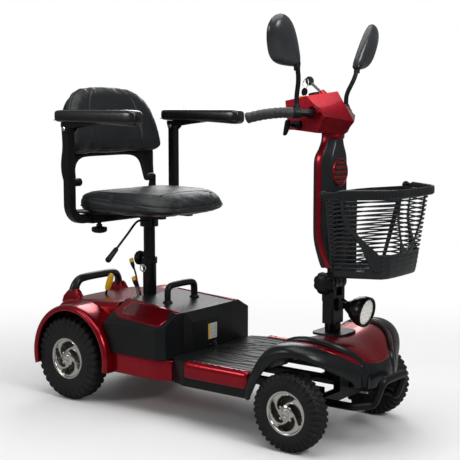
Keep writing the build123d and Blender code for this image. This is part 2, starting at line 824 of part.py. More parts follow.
def panel_cut(side):
    """The prism that lifts a red panel out of one sloped shoulder of the box."""
    with BuildPart() as cut:
        with BuildSketch(Plane.XY.offset(230)):
            with BuildLine():
                Polyline((-262, side * 118), (-104, side * 118), (-122, side * 184), (-262, side * 176),
                         close=True)
            make_face()
        extrude(amount=90)
    return cut.part


def make_battery_module():
    """Lift-off battery box, its red shoulder panels, its handle and the two batteries."""
    outer = battery_solid(0)
    inner = battery_solid(WALL)
    with BuildPart() as skin:
        add(outer)
        add(inner, mode=Mode.SUBTRACT)
        with BuildSketch(Plane.XY.offset(163)):
            with Locations((-180, 0)):
                Rectangle(190, 330)
        extrude(amount=3)
    with BuildPart() as battery_box:
        add(skin.part)
        for side, _ in SIDES:
            add(panel_cut(side), mode=Mode.SUBTRACT)
    battery_box.part.label = "battery_box"
    export_step(battery_box.part, "parts/battery_box.step")
    with BuildPart() as panels:
        for side, _ in SIDES:
            add(panel_cut(side))
        add(skin.part, mode=Mode.INTERSECT)
    panels.part.label = "battery_panels"
    export_step(panels.part, "parts/battery_panels.step")
    with BuildPart() as handle:
        with BuildLine() as path:
            FilletPolyline((-200, -76, 288), (-200, -70, 340), (-200, 70, 340), (-200, 76, 288), radius=16)
        with BuildSketch(Plane(origin=path.wires()[0] @ 0, z_dir=path.wires()[0] % 0)):
            Circle(10)
        sweep(path=path.wires()[0])
        add(outer, mode=Mode.SUBTRACT)
    handle.part.label = "battery_handle"
    export_step(handle.part, "parts/battery_handle.step")
    with BuildPart() as cells:
        with BuildSketch(Plane.XY.offset(166)):
            with Locations((-185, 52), (-185, -52)):
                RectangleRounded(151, 98, 3)
        extrude(amount=95)
    cells.part.label = "battery_cells"
    export_step(cells.part, "parts/battery_cells.step")


# ---------------------------------------------------------------- seat


def make_seat_post():
    """Inner post that slides in the socket, with a keyway for the height pin."""
    with BuildPart() as post:
        with BuildSketch(Plane.XY.offset(240)):
            with Locations((POST_X, 0)):
                Circle(POST_INNER_R)
                Circle(POST_INNER_R - 3, mode=Mode.SUBTRACT)
        extrude(amount=POST_TOP_Z - 240)
        keyway = Plane(origin=(POST_X, -POST_INNER_R, PIN_Z - SEAT_TRAVEL / 2), x_dir=(0, 0, 1),
                       z_dir=(0, -1, 0))
        with BuildSketch(keyway):
            SlotCenterToCenter(SEAT_TRAVEL + 2, 9)
        extrude(amount=5, both=True, mode=Mode.SUBTRACT)
        with BuildSketch(Plane.YZ.offset(POST_X - POST_INNER_R)):
            with Locations(*[(0, 440 + 25 * step) for step in range(3)]):
                Circle(4)
        extrude(amount=5, both=True, mode=Mode.SUBTRACT)
    post.part.label = "seat_post"
    export_step(post.part, "parts/seat_post.step")


def make_post_knob():
    """Knurled clamp screw on the back of the socket."""
    with BuildPart() as knob:
        with BuildSketch(Plane.YZ.offset(POST_X - POST_INNER_R - 0.3)):
            with Locations((0, CLAMP_Z)):
                Circle(4)
        extrude(amount=-18)
        with BuildSketch(Plane.YZ.offset(POST_X - POST_INNER_R - 16)):
            with Locations((0, CLAMP_Z)):
                Circle(21)
                with PolarLocations(22, 16):
                    Circle(2, mode=Mode.SUBTRACT)
        extrude(amount=-18)
    knob.part.label = "post_knob"
    export_step(knob.part, "parts/post_knob.step")


def make_height_pin():
    """Hitch pin with its pull ring."""
    with BuildPart() as pin:
        with BuildSketch(Plane.XZ.offset(POST_INNER_R - 2.5)):
            with Locations((POST_X, PIN_Z)):
                Circle(4)
        extrude(amount=16)
        with BuildSketch(Plane.XZ.offset(POST_INNER_R + 11)):
            with Locations((POST_X, PIN_Z)):
                Circle(6)
            with Locations((POST_X, PIN_Z - 6)):
                Circle(12)
                Circle(9.5, mode=Mode.SUBTRACT)
        extrude(amount=2.5)
    pin.part.label = "height_pin"
    export_step(pin.part, "parts/height_pin.step")


def make_seat_pan():
    """Swivel hub, steel pan, armrest receiver and the backrest's hinge brackets."""
    with BuildPart() as pan:
        with BuildSketch(Plane.XY.offset(500)):
            with Locations((POST_X, 0)):
                Circle(27)
        extrude(amount=PAN_Z - 500)
        with BuildSketch(Plane.XY.offset(PAN_Z)):
            with BuildLine():
                Polyline((-468, -178), (-380, -178), (-180, -120), (-180, 120), (-380, 178), (-468, 178),
                         close=True)
            make_face()
        extrude(amount=5)
        with BuildSketch(Plane.XY.offset(PAN_Z)):
            with Locations((-310, 60), (-310, -60)):
                Rectangle(220, 20)
        extrude(amount=-14)
        receiver = Plane.XZ.offset(-150)
        with BuildSketch(receiver):
            with Locations((ARM_X, ARM_TUBE_Z)):
                RectangleRounded(31, 31, 4)
        extrude(amount=300)
        for side, _ in SIDES:
            with BuildSketch(Plane.XZ.offset(-side * 175 + 3)):
                with BuildLine():
                    Polyline((-468, PAN_Z), (-441, PAN_Z), (-437.5, 560), (-437.5, BACK_HINGE_Z + 4),
                             (-457, BACK_HINGE_Z + 4), (-468, 580), close=True)
                make_face()
                with Locations((BACK_HINGE_X, BACK_HINGE_Z)):
                    Circle(10)
            extrude(amount=-6)
        with BuildSketch(receiver):
            with Locations((ARM_X, ARM_TUBE_Z)):
                RectangleRounded(ARM_TUBE + 0.2, ARM_TUBE + 0.2, 2)
        extrude(amount=300, mode=Mode.SUBTRACT)
        with BuildSketch(Plane.XZ.offset(-178)):
            with Locations((BACK_HINGE_X, BACK_HINGE_Z)):
                Circle(5)
        extrude(amount=12)
        with BuildSketch(Plane.XZ.offset(178)):
            with Locations((BACK_HINGE_X, BACK_HINGE_Z)):
                Circle(5)
        extrude(amount=-12)
        with BuildSketch(Plane.XY.offset(490)):
            with Locations((POST_X, 0)):
                Circle(POST_INNER_R + RUN_GAP)
        extrude(amount=POST_TOP_Z + 0.1 - 490, mode=Mode.SUBTRACT)
        with BuildSketch(Plane.XY.offset(513)):
            with Locations((ARM_X, 110), (ARM_X, -110)):
                Circle(4 + RUN_GAP)
        extrude(amount=6, mode=Mode.SUBTRACT)
        with BuildSketch(Plane.YZ.offset(POST_X + 34)):
            with Locations((-46, 525), (-34, 525)):
                Rectangle(4, 42)
        extrude(amount=16)
        with BuildSketch(Plane.XZ.offset(48)):
            with Locations((POST_X + 42, 514)):
                Circle(3)
        extrude(amount=-16)
    pan.part.label = "seat_pan"
    export_step(pan.part, "parts/seat_pan.step")


def make_swivel_lever():
    """Swivel release lever: a hub on its pin, a bent rod and a moulded grip."""
    hub_x = POST_X + 42
    with BuildPart() as lever:
        with BuildSketch(Plane.XZ.offset(43.8)):
            with Locations((hub_x, 514)):
                Circle(7)
        extrude(amount=-7.6)
        with BuildLine() as path:
            Polyline((hub_x, -40, 514), (hub_x, -40, 497), (hub_x + 4, -146, 416))
        with BuildSketch(Plane(origin=path.wires()[0] @ 0, z_dir=path.wires()[0] % 0)):
            Circle(3.7)
        sweep(path=path.wires()[0], transition=Transition.ROUND)
        grip = Plane(origin=(hub_x + 3, -119.5, 436.2), z_dir=(4, -106, -81))
        with BuildSketch(grip):
            Circle(8)
        extrude(amount=44)
        with BuildSketch(Plane.XZ.offset(50)):
            with Locations((hub_x, 514)):
                Circle(3 + RUN_GAP)
        extrude(amount=-20, mode=Mode.SUBTRACT)
    lever.part.label = "swivel_lever"
    export_step(lever.part, "parts/swivel_lever.step")


def make_seat_cushion():
    """Seat cushion: rounded rear corners and a broad rounded front."""
    with BuildPart() as cushion:
        with BuildSketch(Plane.XY.offset(CUSHION_Z)):
            with BuildLine():
                half = Polyline((CUSHION_BACK_X, 0), (CUSHION_BACK_X, CUSHION_HALF - 40),
                                (CUSHION_BACK_X + 50, CUSHION_HALF), (-220, CUSHION_HALF))
                ThreePointArc(half @ 1, (-140, 140), (CUSHION_FRONT_X, 0))
                mirror(about=Plane.XZ)
            make_face()
        extrude(amount=CUSHION_TOP - CUSHION_Z)
        fillet(cushion.edges().group_by(Axis.Z)[-1], 12)
        for side, _ in SIDES:
            with BuildSketch(Plane.XY.offset(CUSHION_Z)):
                with Locations((-448, side * 176)):
                    Rectangle(24, 12)
            extrude(amount=80, mode=Mode.SUBTRACT)
    cushion.part.label = "seat_cushion"
    export_step(cushion.part, "parts/seat_cushion.step")


def back_plane(distance):
    """The backrest's own plane, through the hinge axis and leaning back, moved forward by distance."""
    lean = radians(BACK_LEAN)
    normal = Vector(cos(lean), 0, sin(lean))
    origin = Vector(BACK_HINGE_X, 0, BACK_HINGE_Z) + normal * distance
    return Plane(origin=origin, x_dir=(0, 1, 0), z_dir=normal)


def make_backrest():
    """Moulded back shell with its arch opening and two legs, and the padded panel in front."""
    with BuildPart() as shell:
        with BuildSketch(back_plane(-14)):
            with BuildLine():
                side_edge = Polyline((0, 62), (190, 62), (190, 180))
                Spline(side_edge @ 1, (150, 256), (0, 284), tangents=((0, 1), (-1, 0)))
                mirror(about=Plane.YZ)
            make_face()
            with Locations((158, 34), (-158, 34)):
                Rectangle(24, 96)
            with Locations((0, 62)):
                RectangleRounded(240, 30, 14, mode=Mode.SUBTRACT)
        extrude(amount=8)
        with BuildSketch(Plane.XZ.offset(-170)):
            with Locations((BACK_HINGE_X, BACK_HINGE_Z)):
                Circle(12)
        extrude(amount=24)
        with BuildSketch(Plane.XZ.offset(170)):
            with Locations((BACK_HINGE_X, BACK_HINGE_Z)):
                Circle(12)
        extrude(amount=-24)
        with BuildSketch(Plane.XZ.offset(-180)):
            with Locations((BACK_HINGE_X, BACK_HINGE_Z)):
                Circle(5 + RUN_GAP)
        extrude(amount=360, mode=Mode.SUBTRACT)
    shell.part.label = "back_shell"
    export_step(shell.part, "parts/back_shell.step")
    with BuildPart() as cushion:
        with BuildSketch(back_plane(-6)):
            with BuildLine():
                side_edge = Polyline((0, 82), (193, 82), (193, 180))
                Spline(side_edge @ 1, (152, 258), (0, 286), tangents=((0, 1), (-1, 0)))
                mirror(about=Plane.YZ)
            make_face()
        extrude(amount=34)
    cushion.part.label = "back_cushion"
    export_step(cushion.part, "parts/back_cushion.step")


def make_armrests():
    """Armrest tubes, pads and clamp knobs, one set on each side."""
    bend = 45
    cheek_gap = ARM_TUBE / 2 + 0.5
    for side, tag in SIDES:
        with BuildPart() as tube:
            with BuildLine() as path:
                FilletPolyline((ARM_X, side * 36, ARM_TUBE_Z), (ARM_X, side * ARM_Y, ARM_TUBE_Z),
                               (ARM_X, side * ARM_Y, ARM_PIVOT_Z), radius=bend)
            start = Plane(origin=(ARM_X, side * 36, ARM_TUBE_Z), x_dir=(1, 0, 0), z_dir=(0, side, 0))
            with BuildSketch(start):
                RectangleRounded(ARM_TUBE, ARM_TUBE, 3)
                RectangleRounded(ARM_TUBE - 4, ARM_TUBE - 4, 2, mode=Mode.SUBTRACT)
            sweep(path=path.wires()[0])
            with BuildSketch(Plane.XZ.offset(-side * ARM_Y + ARM_TUBE / 2)):
                with Locations((ARM_X, ARM_PIVOT_Z)):
                    Circle(ARM_TUBE / 2)
            extrude(amount=-ARM_TUBE)
            with BuildSketch(Plane.XZ.offset(-side * ARM_Y + ARM_TUBE)):
                with Locations((ARM_X, ARM_PIVOT_Z)):
                    Circle(5 + RUN_GAP)
            extrude(amount=-2 * ARM_TUBE, mode=Mode.SUBTRACT)
        tube.part.label = f"arm_tube_{tag}"
        export_step(tube.part, f"parts/arm_tube_{tag}.step")
        mid = Plane.XZ.offset(-side * ARM_Y)
        with BuildPart() as pad:
            with BuildSketch(Plane.XY.offset(806)):
                with Locations((PAD_FRONT_X - PAD_LENGTH / 2, side * ARM_Y)):
                    RectangleRounded(PAD_LENGTH, PAD_WIDTH, 12)
            extrude(amount=34)
            chamfer(pad.edges().group_by(Axis.Z)[-1], 5)
            with BuildSketch(mid.offset(-PAD_WIDTH / 2 + 3)):
                with BuildLine():
                    Polyline((ARM_X + 122, 807), (PAD_FRONT_X - 20, 797), (PAD_FRONT_X - 6, 800),
                             (PAD_FRONT_X - 6, 807), close=True)
                make_face()
            extrude(amount=PAD_WIDTH - 6)
            for offset_y in (cheek_gap, -cheek_gap - 3):
                with BuildSketch(mid.offset(-offset_y)):
                    with BuildLine():
                        Polyline((ARM_X - 12, 807), (ARM_X - 12, ARM_PIVOT_Z - 8),
                                 (ARM_X + 12, ARM_PIVOT_Z - 10), (ARM_X + 66, 799), (ARM_X + 120, 807),
                                 close=True)
                    make_face()
                extrude(amount=-3)
            with BuildSketch(mid.offset(-cheek_gap - 4)):
                with Locations((ARM_X, ARM_PIVOT_Z)):
                    Circle(5)
            extrude(amount=2 * cheek_gap + 8)
        pad.part.label = f"arm_pad_{tag}"
        export_step(pad.part, f"parts/arm_pad_{tag}.step")
        with BuildPart() as knob:
            with BuildSketch(Plane.XY.offset(482)):
                with Locations((ARM_X, side * 110)):
                    RegularPolygon(24, 7)
            extrude(amount=18)
            with BuildSketch(Plane.XY.offset(500)):
                with Locations((ARM_X, side * 110)):
                    Circle(9)
            extrude(amount=10)
            with BuildSketch(Plane.XY.offset(510)):
                with Locations((ARM_X, side * 110)):
                    Circle(4)
            extrude(amount=7.2)
        knob.part.label = f"arm_knob_{tag}"
        export_step(knob.part, f"parts/arm_knob_{tag}.step")


# ---------------------------------------------------------------- tiller


def bar_points(side):
    """Centre line of one half of the handlebar, from the middle to its end."""
    return [(BAR_X, side * 92, BAR_Z), (BAR_X - 39, side * 143, BAR_Z + 1), (201, side * 200, 823)]


def make_tiller_stem():
    """Hinge tongue, tiller tube, welded handlebar and the basket's bracket."""
    with BuildPart() as stem:
        with BuildSketch(Plane.XZ.offset(-13.5)):
            with Locations((FOLD_X, FOLD_Z)):
                Circle(23.5)
            with Locations((FOLD_X, FOLD_Z + 26)):
                Rectangle(22, 44)
        extrude(amount=27)
        with BuildSketch(Plane.XY.offset(440)):
            with Locations((FOLD_X, 0)):
                RectangleRounded(22, 28, 4)
        extrude(amount=BAR_Z - 440)
        with BuildSketch(Plane.XY.offset(BAR_Z - 16)):
            with Locations((FOLD_X - 12, 0)):
                Rectangle(34, 28)
        extrude(amount=30)
        with BuildLine() as path:
            FilletPolyline(*reversed(bar_points(-1)), *bar_points(1), radius=30)
        with BuildSketch(Plane(origin=path.wires()[0] @ 0, z_dir=path.wires()[0] % 0)):
            Circle(BAR_R)
        sweep(path=path.wires()[0])
        with BuildSketch(Plane.XZ.offset(-13.5)):
            with Locations((FOLD_X, FOLD_Z)):
                Circle(6 + RUN_GAP)
        extrude(amount=27, mode=Mode.SUBTRACT)
        with BuildSketch(Plane.YZ.offset(330)):
            with Locations((0, 560)):
                Rectangle(40, 60)
        extrude(amount=26)
        with BuildSketch(Plane.YZ.offset(356)):
            with Locations((0, 560)):
                Rectangle(70, 90)
        extrude(amount=5)
        with BuildSketch(Plane.YZ.offset(360)):
            with Locations((0, 590)):
                Rectangle(60, 6)
        extrude(amount=13.5)
        with BuildSketch(Plane.XY.offset(593)):
            with Locations((371.5, 0)):
                Rectangle(4, 60)
        extrude(amount=16)
    stem.part.label = "tiller_stem"
    export_step(stem.part, "parts/tiller_stem.step")


def cover_solid(wall):
    """The tiller cover's form: a waisted front view crossed with a bent side view."""
    front = [(50, 438), (50, 722), (30, 764), (30, 779)]
    side = [(311, 438), (289, 506), (289, 722), (303, 764), (303, 779), (344, 779),
            (344, 722), (344, 438)]
    with BuildPart() as body:
        with BuildSketch(Plane.YZ.offset(270)):
            with BuildLine():
                Polyline(*[(y - wall, z) for y, z in front],
                         *[(wall - y, z) for y, z in reversed(front)], close=True)
            make_face()
        extrude(amount=100)
        with BuildSketch(Plane.XZ.offset(-60)):
            with BuildLine():
                Polyline(*[(x + (wall if x < 330 else -wall), z) for x, z in side], close=True)
            make_face()
        extrude(amount=120, mode=Mode.INTERSECT)
    return body.part


def make_tiller_covers():
    """Rear cover, red side strips with the round vent, and front panel of the tiller."""
    outer = cover_solid(0)
    inner = cover_solid(WALL)
    with BuildPart() as skin:
        add(outer)
        add(inner, mode=Mode.SUBTRACT)
    with BuildPart() as rear:
        with BuildSketch(Plane.XY.offset(430)):
            with BuildLine():
                Polyline((270, -60), (302, -60), (302, 60), (270, 60), close=True)
            make_face()
        extrude(amount=360)
        with BuildSketch(Plane.XZ.offset(-60)):
            with BuildLine():
                Polyline((302, 430), (302, 520), (321.7, 463), (321.7, 430), close=True)
            make_face()
        extrude(amount=120)
        add(skin.part, mode=Mode.INTERSECT)
        with BuildSketch(Plane.XZ.offset(-9)):
            with Locations((290, 670)):
                Circle(14)
            with Locations((303, 670)):
                Rectangle(26, 40, mode=Mode.SUBTRACT)
        extrude(amount=18)
    rear.part.label = "tiller_cover_rear"
    export_step(rear.part, "parts/tiller_cover_rear.step")
    with BuildPart() as trim:
        with BuildSketch(Plane.XY.offset(430)):
            with Locations((312, 0)):
                Rectangle(19.4, 120)
        extrude(amount=360)
        with BuildSketch(Plane.XZ.offset(-60)):
            with BuildLine():
                Polyline((300, 430), (300, 526), (302, 521), (322, 463.3), (322, 430), close=True)
            make_face()
        extrude(amount=120, mode=Mode.SUBTRACT)
        with BuildSketch(Plane.XY.offset(770)):
            Rectangle(1000, 40)
        extrude(amount=20, mode=Mode.SUBTRACT)
        add(skin.part, mode=Mode.INTERSECT)
        with BuildSketch(Plane.YZ.offset(340)):
            with Locations((0, BADGE_Z)):
                Circle(35)
        extrude(amount=6)
    trim.part.label = "tiller_trim"
    export_step(trim.part, "parts/tiller_trim.step")
    with BuildPart() as panel:
        with BuildSketch(Plane.XY.offset(430)):
            with Locations((341, 0)):
                Rectangle(38, 120)
        extrude(amount=360)
        add(skin.part, mode=Mode.INTERSECT)
        with BuildSketch(Plane.YZ.offset(330)):
            with Locations((0, BADGE_Z)):
                Circle(35.2)
            with Locations((0, 560)):
                Rectangle(42, 62)
        extrude(amount=30, mode=Mode.SUBTRACT)
    panel.part.label = "tiller_cover_front"
    export_step(panel.part, "parts/tiller_cover_front.step")


def head_solid(keep):
    """The faceted head: side outlines joined to a fuller outline on the centre plane."""
    centre_x = 290
    centre_z = 832
    with BuildPart() as body:
        for y, outline in ((HEAD_HALF * keep, HEAD_EDGE), (0, HEAD_RIDGE), (-HEAD_HALF * keep, HEAD_EDGE)):
            with BuildSketch(Plane.XZ.offset(y)):
                with BuildLine():
                    Polyline(*[(centre_x + (x - centre_x) * keep, centre_z + (z - centre_z) * keep)
                               for x, z in outline], close=True)
                make_face()
        loft(ruled=True)
    return body.part


def console_plane(x, y, lift):
    """A plane on the sloped dashboard, at x and y, raised by lift along its normal."""
    slope = Vector(-0.19, 0, 0.98).normalized()
    return Plane(origin=Vector(x, y, 868.2 + (x - 224) * 0.19) + slope * lift, x_dir=(0, 1, 0), z_dir=slope)


def make_head():
    """Front nacelle and rear dashboard casing of the tiller head."""
    outer = head_solid(1)
    inner = head_solid(0.94)
    with BuildPart() as skin:
        add(outer)
        add(inner, mode=Mode.SUBTRACT)
        with BuildSketch(Plane.XZ.offset(-100)):
            with Locations((BAR_X, BAR_Z)):
                Circle(BAR_R + 0.5)
        extrude(amount=200, mode=Mode.SUBTRACT)
        with BuildSketch(Plane.XY.offset(740)):
            with Locations((FOLD_X, 0)):
                Rectangle(26, 32)
        extrude(amount=80, mode=Mode.SUBTRACT)
        with BuildSketch(Plane.XZ.offset(-100)):
            with Locations((250, 805)):
                Rectangle(52, 18)
        extrude(amount=200, mode=Mode.SUBTRACT)
        with BuildSketch(console_plane(250, 24, 0)):
            Circle(3.1)
        extrude(amount=12, both=True, mode=Mode.SUBTRACT)
        with BuildSketch(console_plane(250, -34, 0)):
            Circle(8.2)
        extrude(amount=12, both=True, mode=Mode.SUBTRACT)
        with BuildSketch(key_plane(0)):
            Circle(6)
        extrude(amount=14, both=True, mode=Mode.SUBTRACT)
    with BuildPart() as cover:
        add(skin.part)
        split(bisect_by=Plane.YZ.offset(HEAD_SEAM_X), keep=Keep.TOP)
        for side, _ in SIDES:
            collar = Plane.XZ.offset(-side * 66)
            with BuildSketch(collar):
                with Locations((BAR_X, BAR_Z)):
                    Circle(18)
                    Circle(BAR_R + 0.5, mode=Mode.SUBTRACT)
            extrude(amount=-side * 18)
        barrel = key_plane(0)
        with BuildSketch(barrel.offset(-6)):
            Circle(10)
            Circle(6, mode=Mode.SUBTRACT)
        extrude(amount=12)
    cover.part.label = "head_cover"
    export_step(cover.part, "parts/head_cover.step")
    with BuildPart() as console:
        add(skin.part)
        split(bisect_by=Plane.YZ.offset(HEAD_SEAM_X - 0.3), keep=Keep.BOTTOM)
    console.part.label = "head_console"
    export_step(console.part, "parts/head_console.step")


def key_plane(distance):
    """The ignition key's plane, facing back and up along the key."""
    along = Vector(-0.78, 0, 0.62).normalized()
    return Plane(origin=Vector(303, -22, 882) + along * distance, x_dir=(0, 1, 0), z_dir=along)


def make_controls():
    """Speed dial, horn button, ignition key and the wig-wag throttle lever."""
    with BuildPart() as dial:
        with BuildSketch(console_plane(250, 24, 0.8)):
            Circle(15)
            with PolarLocations(16, 12):
                Circle(1.6, mode=Mode.SUBTRACT)
        extrude(amount=12)
        with BuildSketch(console_plane(250, 24, 1)):
            Circle(3)
        extrude(amount=-10)
    dial.part.label = "speed_dial"
    export_step(dial.part, "parts/speed_dial.step")
    with BuildPart() as button:
        with BuildSketch(console_plane(250, -34, -5)):
            Circle(8)
        extrude(amount=9)
    button.part.label = "horn_button"
    export_step(button.part, "parts/horn_button.step")
    with BuildPart() as key:
        with BuildSketch(key_plane(-4)):
            Rectangle(8, 2.4)
        extrude(amount=26)
        with BuildSketch(key_plane(21)):
            RectangleRounded(22, 7, 3)
        extrude(amount=26)
    key.part.label = "key"
    export_step(key.part, "parts/key.step")
    with BuildPart() as throttle:
        with BuildSketch(Plane.XY.offset(800)):
            with Locations((250, 0)):
                Circle(12)
                SlotOverall(270, 10, rotation=90)
        extrude(amount=10)
        with BuildSketch(Plane.XY.offset(793)):
            with Locations((250, 118), (250, -118)):
                SlotOverall(46, 12, rotation=90)
        extrude(amount=22)
    throttle.part.label = "throttle_lever"
    export_step(throttle.part, "parts/throttle_lever.step")


def make_grips():
    """Soft grips on both ends of the handlebar."""
    with BuildPart() as grips:
        for side, _ in SIDES:
            _, knee, tip = [Vector(*point) for point in bar_points(side)]
            run = (tip - knee).normalized()
            start = knee + run * 16
            end = tip + run * 4
            with BuildSketch(Plane(origin=start, z_dir=run)):
                Circle(GRIP_R)
            extrude(amount=(end - start).length)
            with BuildSketch(Plane(origin=start, z_dir=run)):
                Circle(BAR_R)
            extrude(amount=(tip - start).length, mode=Mode.SUBTRACT)
    grips.part.label = "grips"
    export_step(grips.part, "parts/grips.step")


def mirror_plane(side, distance):
    """A mirror head's plane; its normal faces forward and outward, its x runs along the lean."""
    yaw = radians(MIRROR_YAW)
    lean = radians(MIRROR_LEAN)
    normal = Vector(cos(yaw), side * sin(yaw), 0)
    across = Vector(-side * sin(yaw), cos(yaw), 0)
    along = across * (side * sin(lean)) + Vector(0, 0, cos(lean))
    return Plane(origin=Vector(MIRROR_X, side * MIRROR_Y, MIRROR_Z) + normal * distance,
                 x_dir=along, z_dir=normal)


def make_mirrors():
    """Mirror arms clamped on the handlebar, and the two mirror heads with their glass."""
    with BuildPart() as arms:
        for side, _ in SIDES:
            inner, knee, _ = [Vector(*point) for point in bar_points(side)]
            run = (knee - inner).normalized()
            clamp_at = inner + run * 34
            with BuildSketch(Plane(origin=clamp_at - run * 9, z_dir=run)):
                Circle(15)
            extrude(amount=18)
            top = Vector(MIRROR_X + 3, side * (MIRROR_PIVOT_Y - 1), MIRROR_PIVOT_Z - 3)
            foot = clamp_at + Vector(0, 0, 10)
            with BuildLine() as path:
                Spline(foot, foot + Vector(0, 0, 30), top,
                       tangents=(Vector(0, 0, 1), Vector(0, side * 0.35, 1)))
            with BuildSketch(Plane(origin=foot, z_dir=(0, 0, 1))):
                Circle(6)
            sweep(path=path.wires()[0])
            with BuildSketch(Plane(origin=foot, z_dir=(0, 0, 1))):
                Circle(12)
            with BuildSketch(Plane(origin=foot + Vector(0, 0, 12), z_dir=(0, 0, 1))):
                Circle(7)
            loft()
            with BuildSketch(Plane(origin=clamp_at - run * 20, z_dir=run)):
                Circle(BAR_R)
            extrude(amount=40, mode=Mode.SUBTRACT)
            with BuildSketch(Plane.XY.offset(MIRROR_PIVOT_Z - 11)):
                with Locations((MIRROR_X + 3, side * MIRROR_PIVOT_Y)):
                    Circle(8)
            extrude(amount=10.5)
    arms.part.label = "mirror_arms"
    export_step(arms.part, "parts/mirror_arms.step")
    for side, tag in SIDES:
        with BuildPart() as head:
            with BuildSketch(mirror_plane(side, -8)):
                Ellipse(66, 50)
            extrude(amount=10)
            with BuildSketch(mirror_plane(side, 2)):
                Ellipse(66, 50)
            with BuildSketch(mirror_plane(side, 18)):
                Ellipse(44, 30)
            loft()
            with BuildLine() as path:
                Line((MIRROR_X + 3, side * MIRROR_PIVOT_Y, MIRROR_PIVOT_Z + 3),
                     (MIRROR_X + 3, side * 168, 976))
            with BuildSketch(Plane(origin=path.line @ 0, z_dir=path.line % 0)):
                Circle(8)
            sweep(path=path.line)
            with BuildSketch(Plane.XY.offset(MIRROR_PIVOT_Z)):
                with Locations((MIRROR_X + 3, side * MIRROR_PIVOT_Y)):
                    Circle(9)
            extrude(amount=11)
            with BuildSketch(Plane.XY.offset(MIRROR_PIVOT_Z - 20)):
                with Locations((MIRROR_X + 3, side * MIRROR_PIVOT_Y)):
                    Rectangle(40, 40)
            extrude(amount=20, mode=Mode.SUBTRACT)
        head.part.label = f"mirror_{tag}"
        export_step(head.part, f"parts/mirror_{tag}.step")


# ---------------------------------------------------------------- basket


def basket_outline(half, inset):
    """A closed, mirrored outline, pulled in by a factor about the basket's middle."""
    centre_x = 468
    points = [(centre_x + (x - centre_x) * inset, y * inset) for x, y in half]
    return points + [(x, -y) for x, y in reversed(points[1:-1])]


def make_basket():
    """Plastic basket: slatted, tapering walls, a floor and a rim, with hooks for the bracket."""
    with BuildPart() as basket:
        for inset, low, mode in ((1, 0, Mode.ADD), (0.965, 4, Mode.SUBTRACT)):
            with BuildSketch(Plane.XY.offset(BASKET_FLOOR_Z + low)):
                Polygon(*basket_outline(BASKET_FLOOR, inset), align=None)
            with BuildSketch(Plane.XY.offset(RIM_Z + (0.5 if low else 0))):
                Polygon(*basket_outline(BASKET_RIM, inset), align=None)
            loft(ruled=True, mode=mode)
        for z in range(500, 620, 24):
            with BuildSketch(Plane.XY.offset(z)):
                with Locations((420, 0)):
                    Rectangle(26, 440)
                with Locations((500, 0)):
                    Rectangle(60, 440)
                with Locations((560, 42), (560, -42)):
                    Rectangle(80, 60)
            extrude(amount=9, mode=Mode.SUBTRACT)
        with BuildSketch(Plane.XY.offset(593.2)):
            with Locations((371.5, 0)):
                Rectangle(16, 80)
                Rectangle(4.4, 60.4, mode=Mode.SUBTRACT)
            with Locations((365, 0)):
                Rectangle(8, 82, mode=Mode.SUBTRACT)
        extrude(amount=30)
        for side, _ in SIDES:
            with BuildSketch(Plane.XZ.offset(-side * 188)):
                with Locations((HANDLE_PIVOT_X - 4, HANDLE_PIVOT_Z - 9)):
                    Rectangle(14, 30)
            extrude(amount=-side * 9)
            with BuildSketch(Plane.XZ.offset(-side * 188)):
                with Locations((HANDLE_PIVOT_X, HANDLE_PIVOT_Z)):
                    Circle(4)
            extrude(amount=-side * 21)
    basket.part.label = "basket"
    export_step(basket.part, "parts/basket.step")


def make_basket_handle():
    """Rim band that folds up as the carrying handle, with a round eye at each end."""
    outer = [(424, 211.5), (549, 119), (568, 100), (572, 0)]
    inner = [(424, HANDLE_EYE_Y), (545, 111), (560, 95), (563, 0)]
    with BuildPart() as handle:
        with BuildSketch(Plane.XY.offset(632)):
            Polygon(*outer, *[(x, -y) for x, y in reversed(outer[:-1])], align=None)
            Polygon(*inner, *[(x, -y) for x, y in reversed(inner[:-1])], align=None, mode=Mode.SUBTRACT)
        extrude(amount=22)
        for side, _ in SIDES:
            with BuildSketch(Plane.XZ.offset(-side * HANDLE_EYE_Y)):
                with Locations((HANDLE_PIVOT_X, HANDLE_PIVOT_Z)):
                    Circle(11)
            extrude(amount=-side * 8)
            with BuildSketch(Plane.XZ.offset(-side * (HANDLE_EYE_Y - 6))):
                with Locations((HANDLE_PIVOT_X, HANDLE_PIVOT_Z)):
                    Circle(4 + RUN_GAP)
            extrude(amount=-side * 20, mode=Mode.SUBTRACT)
    handle.part.label = "basket_handle"
    export_step(handle.part, "parts/basket_handle.step")


make_wheels()
make_knuckles()
make_tie_rod()
make_steer_column()
make_fold_knob()
make_headlight()
make_rear_frame()
make_transaxle()
make_front_frame()
make_bumper()
make_freewheel_lever()
make_controller()
make_rear_cover()
make_rear_handle()
make_foot_deck()
make_deck_trim()
make_fairing_and_hood()
make_battery_module()
make_seat_post()
make_post_knob()
make_height_pin()
make_seat_pan()
make_swivel_lever()
make_seat_cushion()
make_backrest()
make_armrests()
make_tiller_stem()
make_tiller_covers()
make_head()
make_controls()
make_grips()
make_mirrors()
make_basket()
make_basket_handle()
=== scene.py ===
import json
import math

